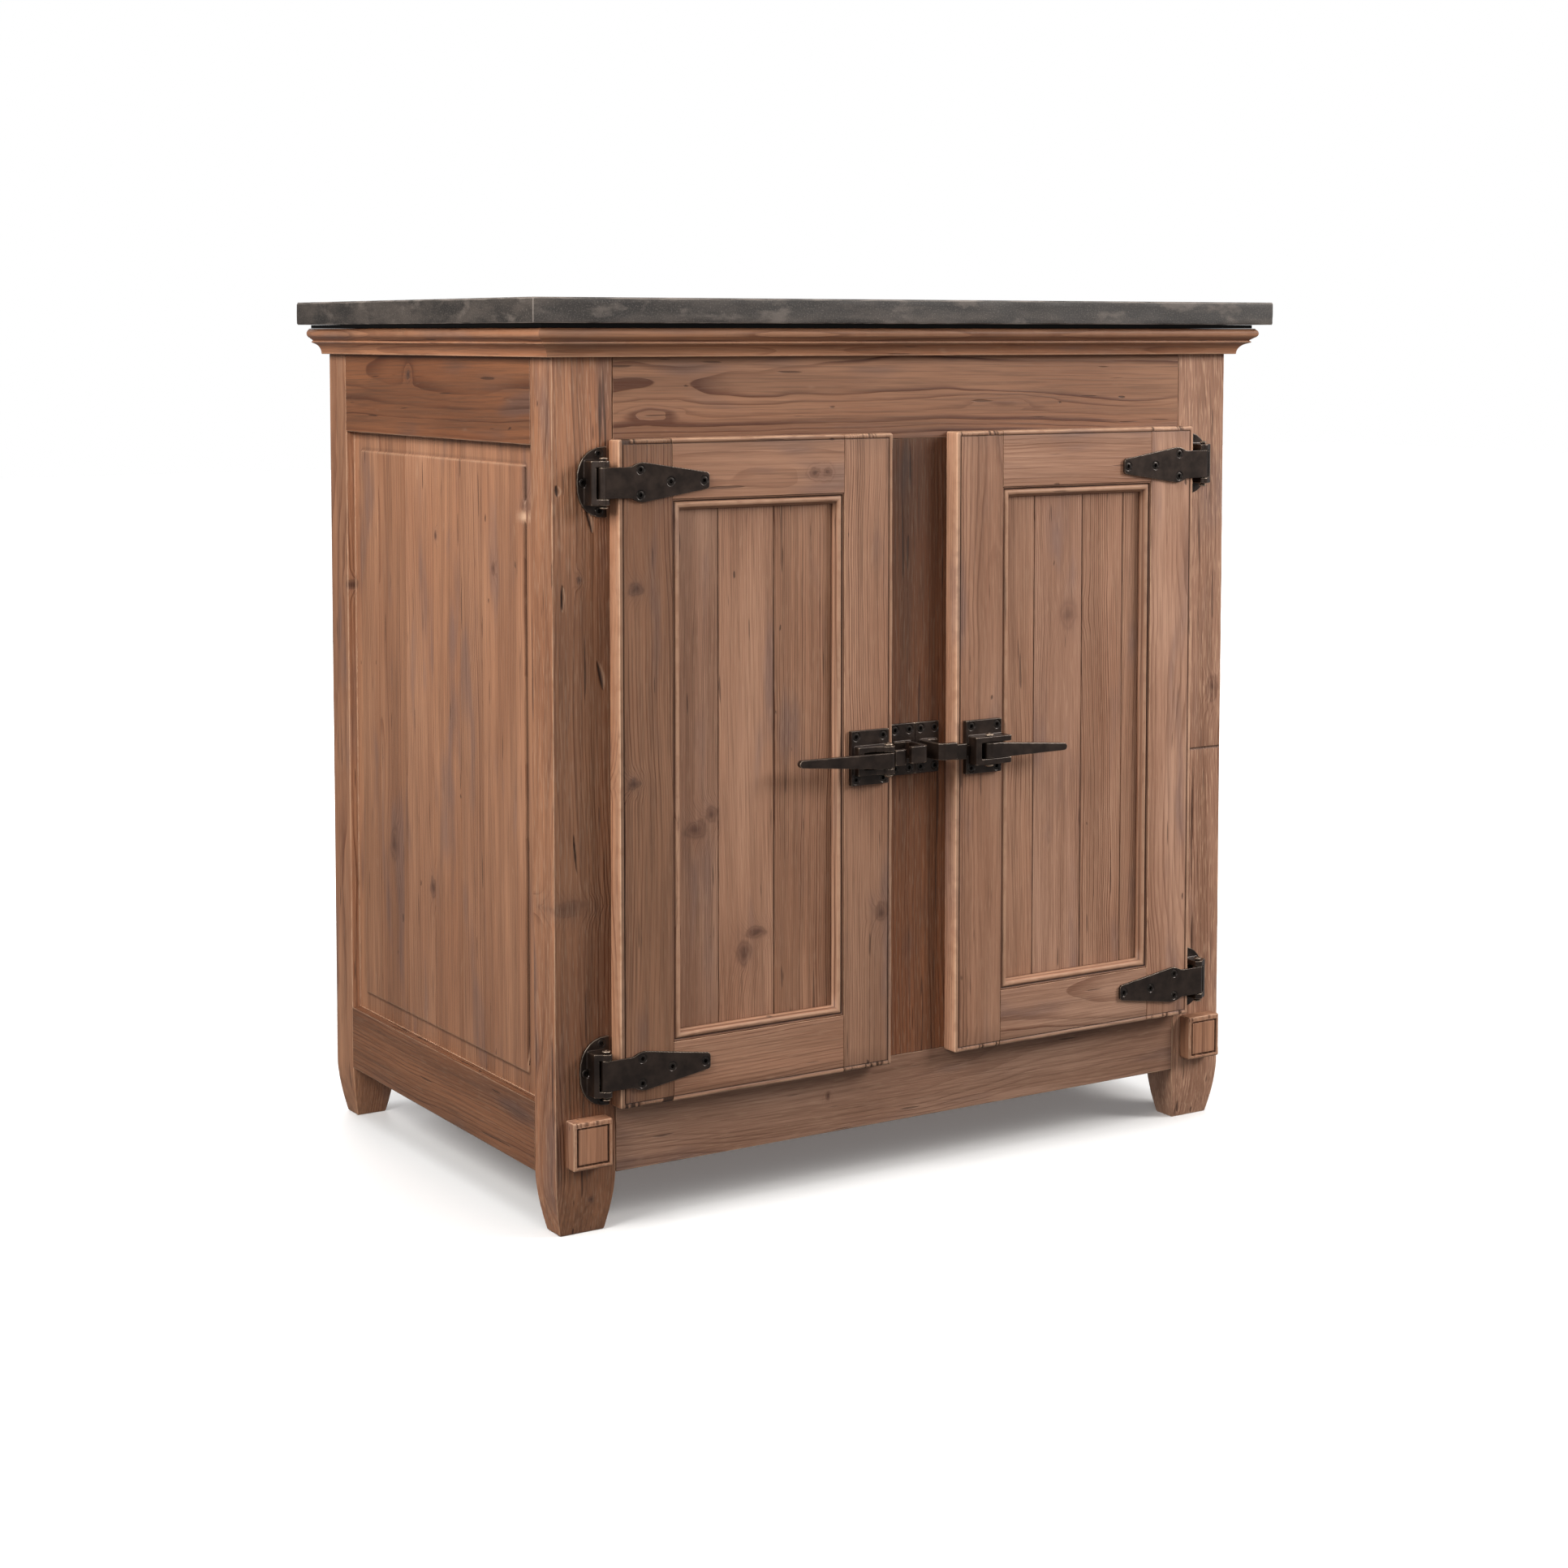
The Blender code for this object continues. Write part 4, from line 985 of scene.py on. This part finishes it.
def crown():
    """Moulding swept along the front and both sides: a cove, a quirk and a round nose."""
    low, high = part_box("crown_front")
    post_low, post_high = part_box("post_front_right")
    half, front = post_high[0], post_low[1]
    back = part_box("post_back_right")[1][1]
    bottom, top = low[2], high[2]
    reach = front - low[1]
    gap = 0.00004
    cove = arc(0.0205, bottom + 0.0005, 0.0115, 180, 105, 10)
    nose = arc(reach - 0.0050, top - 0.0052, 0.0050, -70, 60, 10)
    profile = [(gap, bottom), (0.0080, bottom), (0.0088, bottom + 0.0002)] + cove
    profile += [(0.0205, bottom + 0.0128), (0.0208, bottom + 0.0136), (0.0196, bottom + 0.0144)]
    profile += [(0.0192, bottom + 0.0152)] + nose + [(reach - 0.0030, top), (gap, top)]
    quirk = len(cove) + 3
    rub = {
        **dict.fromkeys((1, 2, 3), 0.45),
        **dict.fromkeys(range(quirk - 1, quirk + 2), 0.30),
        **dict.fromkeys(range(quirk + 6, quirk + 13), 0.12),
    }
    dirt_and_shade = {quirk + 2: 0.25, quirk + 3: 0.50}

    def place(side, out, z, t):
        """A point of a run; side is 0 for the front, and -1 or 1 for the left or right."""
        if side == 0:
            return (half + out - gap / 2) * (2 * t - 1), front - out, z
        return side * (half + out), (front - out + gap / 2) * (1 - t) + back * t, z

    for word, side in (("front", 0), ("left", -1), ("right", 1)):
        node = f"crown_{word}"
        along, face, count, tone, material = ("y", "x", 40, (1.18, -0.55, 0.2), SIDE_PINE)
        if side == 0:
            along, face, count, tone, material = ("x", "y", 60, (1.02, -0.20, 0.2), FRONT_PINE)
        rings = [[place(side, out, z, s / count) for out, z in profile] for s in range(count + 1)]
        points = np.array(rings).reshape(-1, 3)
        marks = ring_marks(len(profile), len(rings), rub, dirt_and_shade)
        dents = np.clip(0.3 + noise_at(points, 0.030, seed_of(node) * 0.01), 0, 1)
        inward = -1 if side == 1 else 1
        points[:, AXES[face]] += dents * marks[:, 0] * 0.0005 * inward
        layers = Log(node, along, face, tone, (0.02, 0.05), 0.006).layers()
        faces = skin(len(rings), len(profile))
        faces[1].reverse()  # so that both caps run the same way round, seen from outside
        make_piece(f"{node}_wood", points, faces, material, node, layers, marks, (0, 1))


def plinth_blocks():
    """Square blocks with a ragged groove round a sunk middle, and end grain broken out above it."""
    for word in ("left", "right"):
        node = f"plinth_block_{word}"
        low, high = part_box(node)
        inner = {
            "x": (low[0] + RING_SIDE, high[0] - RING_SIDE),
            "z": (low[2] + RING_BELOW, high[2] - RING_ABOVE),
        }
        middle = {k: (a + b) / 2 for k, (a, b) in inner.items()}
        half = {k: (b - a) / 2 for k, (a, b) in inner.items()}
        extra = {}
        for k in inner:
            steps = [half[k] + RING_WIDE * d for d in (-0.5, -0.15, 0.0, 0.2, 0.5, 0.8, 1.0, 1.3)]
            extra[k] = [middle[k] + d for d in steps] + [middle[k] - d for d in steps]
        extra["z"] += [high[2] - 0.0052, high[2] - 0.0058]

        def relief(points, low, high):
            away_x = np.abs(points[:, 0] - middle["x"]) - half["x"]
            away_z = np.abs(points[:, 2] - middle["z"]) - half["z"]
            away = np.maximum(away_x, away_z) / RING_WIDE
            rag = 0.5 + 0.9 * noise_at(points, 0.0024, 3)
            depth = np.interp(away, (-0.5, 0.0, 0.2, 0.8, 1.0), (0.0004, 0.0006, 0.0024, 0.0024, 0.0))
            dirt_and_shade = np.interp(away, (-0.5, -0.15, 0.2, 0.8, 1.0, 1.3), (0, 0.3, 1, 1, 0.4, 0))
            dirt_and_shade = dirt_and_shade * np.where(away_z > away_x, np.clip(0.1 + 1.5 * rag, 0, 1), 0.75 + 0.4 * rag)
            notch = np.clip((noise_along(points, (1, 0, 0.1), 0.0026, 4) - 0.15) / 0.15, 0, 1)
            notch = notch * (points[:, 2] > high[2] - 0.0055)
            dirt_and_shade = np.maximum(dirt_and_shade, notch * 0.6)
            dirt_and_shade = np.where((away > 1.2) & (dirt_and_shade < 0.05), -0.45 * rag, dirt_and_shade)
            face = on_side(points, "y", low[1])
            return pressed("y", face, depth + notch * 0.0007, np.clip(dirt_and_shade, -1, 1))

        def lowered(points):
            middle_z, half_z = (low[2] + high[2]) / 2, (high[2] - low[2]) / 2
            share = np.clip((points[:, 2] - middle_z) / half_z, 0, 1)
            return points - np.outer(share, (0, 0, BLOCK_DROP))

        board(node, "z", "y", (1.0, 0.15, 0.2), FRONT_PINE, {"y": (SOFT, TIGHT)}, wear=0.9,
              step=0.0016, extra=extra, relief=relief, pith=(0.05, 0.03), shape=lowered)


# ---- doors --------------------------------------------------------------------------------------
def door_groove(door_low, door_high, notched):
    """Relief: a scratched groove round the door's face, bare wood beyond it, and broken end grain."""

    def relief(points, low, high):
        x, z = points[:, 0], points[:, 2]
        z_in = np.minimum(z - door_low[2], door_high[2] - z)
        x_in = np.minimum(x - door_low[0], door_high[0] - x)
        inset = np.minimum(x_in, z_in)
        near = np.clip(1.25 - np.abs(inset - GROOVE_IN) / (GROOVE_WIDE / 2), 0, 1)
        depth, dirt_and_shade = near * GROOVE_DEEP, near * 0.9
        if notched:
            strip = (z_in < GROOVE_IN) & (x_in > 0.004)
            columns_at = points * np.array((1, 0, 0.12))
            notch = noise_at(columns_at, 0.0030, 4) + 1.4 * noise_at(columns_at, 0.020, 6)
            notch = np.clip((notch - 0.42) / 0.15, 0, 1) * strip
            depth = np.maximum(depth, notch * NOTCH_DEEP)
            dirt_and_shade = np.maximum(dirt_and_shade, notch * 0.9)
        dirt_and_shade = np.where((inset < GROOVE_IN - 0.0006) & (dirt_and_shade < 0.05), -0.35, dirt_and_shade)
        return pressed("y", points[:, 1] - low[1] < DOOR_FRONT + 0.0001, depth, dirt_and_shade)

    return relief


def bare_and_lit_side(lighter):
    """Shade: a door's left side is paler than its face: bare wood, and painted light falling from the
    left.
    """
    return lambda start, low, high: np.where(on_side(start, "x", low[0]), lighter, 0.0)


DOOR_SHADES = {
    "left_door_stile_hinge": bare_and_lit_side(1.12),
    "right_door_stile_latch": bare_and_lit_side(0.56),
    "left_door_stile_latch": lambda start, low, high: np.interp(start[:, 2], (0.30, 0.50), (-0.15, 0.0)),
}


def doors():
    for word in ("left", "right"):
        boxes = [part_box(f"{word}_door_stile_{place}") for place in ("hinge", "latch")]
        door_low = [min(box[0][k] for box in boxes) for k in range(3)]
        door_high = [max(box[1][k] for box in boxes) for k in range(3)]
        plain = door_groove(door_low, door_high, False)
        notched = door_groove(door_low, door_high, True)
        lines = {}
        for name in "xz":
            grooves = (door_low[AXES[name]] + GROOVE_IN, door_high[AXES[name]] - GROOVE_IN)
            lines[name] = [groove + GROOVE_WIDE * d for groove in grooves for d in (-0.5, -0.1, 0.1, 0.5)]
        for place in ("hinge", "latch"):
            node = f"{word}_door_stile_{place}"
            low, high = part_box(node)
            outer_left = (place == "hinge") == (word == "left")
            ends = (DOOR_EDGE, TIGHT) if outer_left else (TIGHT, DOOR_EDGE)
            arris = {"x": ends, "y": (DOOR_FRONT, SOFT), "z": (DOOR_EDGE, DOOR_EDGE)}
            extra = {"x": lines["x"] + columns(low, high, NOTCH_STEP), "z": lines["z"]}
            board(node, "z", "y", DOOR_TONES[node], DOOR_PINE, arris, wear=0.55, extra=extra,
                  relief=notched, tilt=0.006, contrast=1.1, spacing=0.55, shade=DOOR_SHADES.get(node))
        for place, ends in (("top", (TIGHT, DOOR_EDGE)), ("bottom", (DOOR_EDGE, TIGHT))):
            node = f"{word}_door_rail_{place}"
            arris = {"x": (TIGHT, TIGHT), "y": (DOOR_FRONT, SOFT), "z": ends}
            board(node, "x", "y", DOOR_TONES[node], DOOR_PINE, arris, wear=0.55,
                  extra={"z": lines["z"]}, relief=plain, tilt=0.008)
        panel(word)
        bead(word)


def panel(word):
    """Glued upright planks with a groove at each seam on both faces, stained in patches."""
    seams = DOOR_SEAMS[word]

    def relief(points, low, high):
        near = max_over(line_at(points[:, 0], seam, SEAM_WIDE) for seam in seams)
        patch = noise_along(points, (1, 0, 1), 0.11, 3) + 0.5 * noise_along(points, (1, 0, 1), 0.025, 5)
        stain = near * np.clip(0.55 + 1.6 * patch, -0.5, 0.9)
        return on_both_faces(points, low, high, near, stain)

    lines = [x for seam in seams for x in line_points(seam, SEAM_WIDE)]
    board(f"{word}_door_panel", "z", "y", PANEL_TONE, DOOR_PINE, ALL_TIGHT, wear=0.1,
          extra={"x": lines}, relief=relief, seams=seams, planks=DOOR_PLANKS[word], spacing=0.52,
          figured=0.0)


def bead(word):
    """Moulding round the panel, mitred at its corners: a quirk, a round and a slope to the panel."""
    node = f"{word}_door_bead"
    low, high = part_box(node)
    face, base = low[1], high[1]
    section = [(0.0, base), (0.0, face + 0.0006), (0.0012, face + 0.0006), (0.0017, face + 0.0024)]
    section += [(0.0026, face + 0.0024)]
    for degrees in range(15, 166, 15):
        turn = math.radians(degrees)
        section.append((0.0056 - 0.0029 * math.cos(turn), face + 0.0026 - 0.0026 * math.sin(turn)))
    section += [(0.0089, face + 0.0034), (0.0094, face + 0.0044)]
    section += [(BEAD_WIDE, face + 0.0056), (BEAD_WIDE, base)]
    size = len(section)
    rub = {**dict.fromkeys(range(7, 14), 0.38), size - 3: 0.3}
    dirt_and_shade = {2: 0.5, 3: 1.0, 4: 1.0, size - 4: 0.5}

    def corner(right, upper, inset):
        """The place, across and up, of one corner of the outline drawn in by an inset."""
        across = high[0] - inset if right else low[0] + inset
        return np.array([across, high[2] - inset if upper else low[2] + inset])

    corners = ((0, 0), (1, 0), (1, 1), (0, 1))
    points, count = [], 0
    for number, steps in enumerate((14, 34, 14, 34)):
        here, there = corners[number], corners[(number + 1) % 4]
        for s in range(steps):
            for inset, y in section:
                x, z = corner(*here, inset) * (1 - s / steps) + corner(*there, inset) * (s / steps)
                points.append((x, y, z))
        count += steps
    points, marks = np.array(points), ring_marks(size, count, rub, dirt_and_shade)
    dents = np.clip(noise_at(points, 0.022, 7 if word == "left" else 11) + 0.2, 0, 1)
    points[:, 1] += dents * marks[:, 0] * 0.0008
    upright = Log(node, "z", "y", BEAD_TONE, (0.05, 0.05), 0.0)
    level = Log(node + "2", "x", "y", BEAD_TONE, (0.05, 0.05), 0.0)
    ends = np.array([low, high], float)
    centre, half = (ends[0] + ends[1]) / 2, (ends[1] - ends[0]) / 2

    def grain(at, middle):
        beyond = np.abs(middle - centre) - half
        flat = beyond[:, 2] > beyond[:, 0]
        return np.where(flat[:, None], level.grain(at, middle), upright.grain(at, middle))

    layers = {**upright.layers(), "grain": grain}
    make_piece(f"{node}_wood", points, skin(count, size, True), DOOR_PINE, node, layers, marks)


# ---- stone top ----------------------------------------------------------------------------------
def top():
    """The slab, whose sides are slightly wavy. The board under it keeps its CAD shape."""
    low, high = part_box("stone_top")
    arris = [(0.0016, 0.0016), (0.0016, 0.0016), (0.0013, 0.0020)]
    lines = [grid_lines(low[k], high[k], (0.008, 0.012, 0.005)[k], arris[k]) for k in range(3)]
    start, faces = block(lines)
    points, edge = rounded(start, low, high, arris, 0.75, 2.5)
    wave = noise_along(points, (1, 1, 2.5), 0.045, 9)
    for k, axis in enumerate("xy"):
        for limit, sign in ((low[k], 1), (high[k], -1)):
            inward = sign * (0.00035 + 0.00035 * wave)
            points[:, k] += np.where(on_side(start, axis, limit), inward, 0)
    make_piece("stone_top_slab", points, faces, STONE, "stone_top", wear=along_axis("x", edge))
    black_board = frame["nodes"]["sub_top"].data
    black_board.materials.clear()
    black_board.materials.append(BLACK)


# ---- hardware -----------------------------------------------------------------------------------
def turned(profile, axis, at, count):
    """Points and faces of a turned shape. profile gives (radius, distance along its axis)."""
    points = []
    for radius, along in profile:
        for i in range(count):
            turn = math.tau * i / count
            point = [radius * math.cos(turn), radius * math.sin(turn)]
            point.insert(AXES[axis], along)
            points.append([a + b for a, b in zip(at, point)])
    return points, skin(len(profile), count)


def cone(at):
    """A cutter for a countersunk hole whose mouth is at a point of the front face."""
    neck = SINK_RADIUS * 0.45
    profile = ((SINK_RADIUS, -0.002), (SINK_RADIUS, 0.0), (neck, SINK_DEEP), (neck, SINK_DEEP + 0.001))
    points, faces = turned(profile, "y", at, TURNS)
    mesh = bpy.data.meshes.new("cutter")
    mesh.from_pydata(points, [], faces)
    face_outward(mesh)
    return linked("cutter", mesh)


def settled(piece):
    """Replaces an object's mesh by what its modifiers make of it, and removes them."""
    graph = bpy.context.evaluated_depsgraph_get()
    mesh = bpy.data.meshes.new_from_object(piece.evaluated_get(graph))
    piece.modifiers.clear()
    piece.data = mesh


def casting(node, holes=(), rounds=3):
    """A casting in a CAD node's shape: countersunk, then softened all over like poured metal."""
    mesh = frame["nodes"][node].data.copy()
    mesh.name = f"{node}_metal"
    face_outward(mesh, weld=True)
    piece = linked(f"{node}_metal", mesh)
    cutters = [cone(hole) for hole in holes]
    for cutter in cutters:
        cut = piece.modifiers.new("sink", "BOOLEAN")
        cut.operation = "DIFFERENCE"
        cut.solver = "EXACT"
        cut.object = cutter
    remesh = piece.modifiers.new("remesh", "REMESH")
    remesh.mode = "VOXEL"
    remesh.voxel_size = CAST_VOXEL
    soften = piece.modifiers.new("soften", "SMOOTH")
    soften.factor = 0.5
    soften.iterations = rounds
    fewer = piece.modifiers.new("fewer", "DECIMATE")
    fewer.ratio = 0.3
    settled(piece)
    for cutter in cutters:
        bpy.data.objects.remove(cutter)
    points = np.array([v.co for v in piece.data.vertices])
    # painted shade: points in a screw's countersink are marked to be darkened and kept from being rubbed
    # bright
    sunk = np.zeros(len(points))
    for x, y, z in holes:
        away = np.hypot(points[:, 0] - x, points[:, 2] - z)
        inside = np.clip((SINK_RADIUS + 0.0010 - away) / 0.0006, 0, 1)
        sunk = np.maximum(sunk, inside * (points[:, 1] < y + 0.004))
    store(piece.data, "wear", "POINT", along_axis("x", sunk))
    piece.data.materials.clear()
    piece.data.materials.append(BRONZE)
    smooth(piece.data)
    stand_in(piece, node)


def screw_shape():
    """One countersunk screw head facing -Y at the origin, with a cross recess, as points and faces."""
    shape = bmesh.new()
    half, arm, deep = 0.00042, 0.0020, 0.0014
    outline = []
    for c, s in ((1, 0), (0, 1), (-1, 0), (0, -1)):
        outline += [(x * c - z * s, x * s + z * c) for x, z in ((arm, -half), (arm, half), (half, half))]
    inner = [shape.verts.new((x, -0.0003, z)) for x, z in outline]
    profile = ((0.0030, -0.00022), (0.0037, -0.00008), (SCREW_RADIUS, 0.0003), (0.0022, 0.0024))
    points, faces = turned(profile, "y", (0, 0, 0), TURNS)
    outer = [shape.verts.new(point) for point in points]
    edges = []
    for loop in (inner, outer[:TURNS]):
        edges += [shape.edges.new((loop[i], loop[(i + 1) % len(loop)])) for i in range(len(loop))]
    bmesh.ops.triangle_fill(shape, use_beauty=True, edges=edges)
    for face in faces[2:] + faces[1:2]:
        shape.faces.new([outer[i] for i in face])
    floor = [shape.verts.new((x * 0.6, deep, z * 0.6)) for x, z in outline]
    for face in list(shape.faces):  # this opens the cross, and the corners between its arms with it
        if all(v in inner for v in face.verts):
            shape.faces.remove(face)
    for i in range(len(inner)):
        j = (i + 1) % len(inner)
        shape.faces.new((inner[i], inner[j], floor[j], floor[i]))
    shape.faces.new(floor)
    bmesh.ops.recalc_face_normals(shape, faces=shape.faces)
    shape.verts.index_update()
    points = np.array([v.co for v in shape.verts])
    faces = [[v.index for v in f.verts] for f in shape.faces]
    shape.free()
    return points, faces


SCREW_POINTS, SCREW_FACES = screw_shape()


def screws(name, places, body):
    """The screws of one fitting as one piece; each is turned by its own angle."""
    draw = random.Random(seed_of(name))
    points, faces = [], []
    for place in places:
        turn = draw.uniform(0, math.pi / 2)
        c, s = math.cos(turn), math.sin(turn)
        start = len(points)
        for x, y, z in SCREW_POINTS:
            points.append((place[0] + x * c - z * s, place[1] + y + SCREW_SUNK, place[2] + x * s + z * c))
        faces += [[start + i for i in face] for face in SCREW_FACES]
    mesh = bpy.data.meshes.new(name)
    mesh.from_pydata(points, [], faces)
    mesh.materials.append(SCREW_STEEL)
    piece = linked(name, mesh)
    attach(piece, body)


def pin(node, head, proud):
    """A turned pin with a domed head at each end; a head stands proud of the pin's own end."""
    low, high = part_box(node)
    radius, half = (high[0] - low[0]) / 2, (high[2] - low[2]) / 2
    profile = []
    for degrees in (10, 30, 50, 70, 90):
        turn = math.radians(degrees)
        profile.append((head * math.sin(turn), half + proud * math.cos(turn)))
    profile += [(head, half - 0.0004), (radius, half - 0.0004), (radius, half - 0.002)]
    profile += [(r, -z) for r, z in reversed(profile)]
    at = [(low[k] + high[k]) / 2 for k in range(3)]
    points, faces = turned(profile, "z", at, 20)
    make_piece(f"{node}_metal", points, faces, BRONZE, node)


def fitting(node, label, holes, face, side, body, middle=0.0):
    """A casting and its screws. holes are those of the right-hand fitting, from a middle height."""
    places = [(side * x, face, middle + z) for x, z in holes]
    casting(node, places)
    screws(f"screws_{label}", places, body)


def hardware():
    for word, side in (("left", -1), ("right", 1)):
        door = f"{word}_door"
        for level in ("top", "bottom"):
            place = f"{word}_{level}"
            low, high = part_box(f"hinge_plate_{place}")
            z = (low[2] + high[2]) / 2
            fitting(f"hinge_plate_{place}", f"plate_{place}", PLATE_HOLES, PLATE_FACE, side, "cabinet", z)
            fitting(f"{door}_strap_{level}", f"strap_{place}", STRAP_HOLES, STRAP_FACE, side, door, z)
            pin(f"hinge_pin_{place}", *PIN_HEAD)
        fitting(f"{word}_latch_case", f"latch_{word}", LATCH_HOLES, LATCH_FACE, side, door)
        fitting(f"strike_{word}", f"strike_{word}", STRIKE_HOLES, STRIKE_FACE, side, "cabinet")
        casting(f"{word}_lever", rounds=6)
        casting(f"{word}_bolt")
        pin(f"{word}_latch_pin", *LATCH_HEAD)


# ---- stage --------------------------------------------------------------------------------------
def floor():
    mesh = bpy.data.meshes.new("floor")
    reach = 14.0
    corners = [(-reach, -reach, 0), (reach, -reach, 0), (reach, reach, 0), (-reach, reach, 0)]
    mesh.from_pydata(corners, [], [(0, 1, 2, 3)])
    ground = linked("floor", mesh)
    material, graph, shader = new_material("floor", Roughness=0.7, Specular_IOR_Level=0.2)
    shader.inputs["Base Color"].default_value = colour(0.80, 0.80, 0.80)
    # painted light: the floor glows, faintly near the cabinet so that its shadow stays, and strongly far
    # off where it meets the white backdrop
    shader.inputs["Emission Color"].default_value = WHITE
    away = graph.vector("LENGTH", graph.point())
    graph.put(shader.inputs["Emission Strength"], graph.step(away, 0.9, 2.6, 0.12, 0.60))
    mesh.materials.append(material)
    ground.visible_diffuse = False
    ground.visible_glossy = False


def area_light(name, place, side, power, tint=(1, 1, 1)):
    """A square light that faces the cabinet."""
    data = bpy.data.lights.new(name, "AREA")
    data.shape = "SQUARE"
    data.size = side
    data.energy = power
    data.color = tint
    light = linked(name, data)
    light.location = place
    toward = Vector((0, -0.1, 0.45)) - light.location
    light.rotation_euler = toward.to_track_quat("-Z", "Y").to_euler()


def lights():
    area_light("key", (2.4, -2.1, 2.0), 1.2, 90, (1.0, 0.97, 0.94))
    area_light("left_fill", (-2.3, -0.9, 1.9), 1.2, 68, (1.0, 0.98, 0.95))
    area_light("front_fill", (-1.6, -3.6, 1.5), 1.6, 20)
    area_light("back_fill", (0.5, 3.4, 1.5), 1.6, 45)
    data = bpy.data.lights.new("overhead", "SUN")
    data.energy = 2.2
    data.angle = math.radians(60)
    linked("overhead", data).rotation_euler = (math.radians(-6), math.radians(6), 0)
    world = bpy.data.worlds.new("studio")
    bpy.context.scene.world = world
    world.use_nodes = True
    world.node_tree.nodes.clear()
    graph = Graph(world.node_tree)
    ray = graph.add("ShaderNodeLightPath").outputs
    glossy = graph.line(ray["Is Glossy Ray"], 0.08, 0.20)
    dim = graph.add("ShaderNodeBackground", {0: WHITE, 1: glossy}).outputs[0]
    bright = graph.add("ShaderNodeBackground", {0: WHITE, 1: 1.0}).outputs[0]
    mixed = graph.add("ShaderNodeMixShader", {0: ray["Is Camera Ray"], 1: dim, 2: bright}).outputs[0]
    graph.add("ShaderNodeOutputWorld", {0: mixed})


def camera():
    data = bpy.data.cameras.new("camera")
    data.lens = 62.81
    data.sensor_width = 36.0
    data.shift_y = -0.1648
    data.clip_end = 60
    eye = linked("camera", data)
    eye.location = (-1.6129, -2.5638, 0.8771)
    eye.rotation_euler = (math.radians(86), 0, math.radians(-32.129))
    bpy.context.scene.camera = eye


posts()
frame_rails()
side_panels()
inside_boards()
crown()
plinth_blocks()
doors()
top()
hardware()
floor()
lights()
camera()
bpy.context.scene.view_settings.view_transform = "Standard"
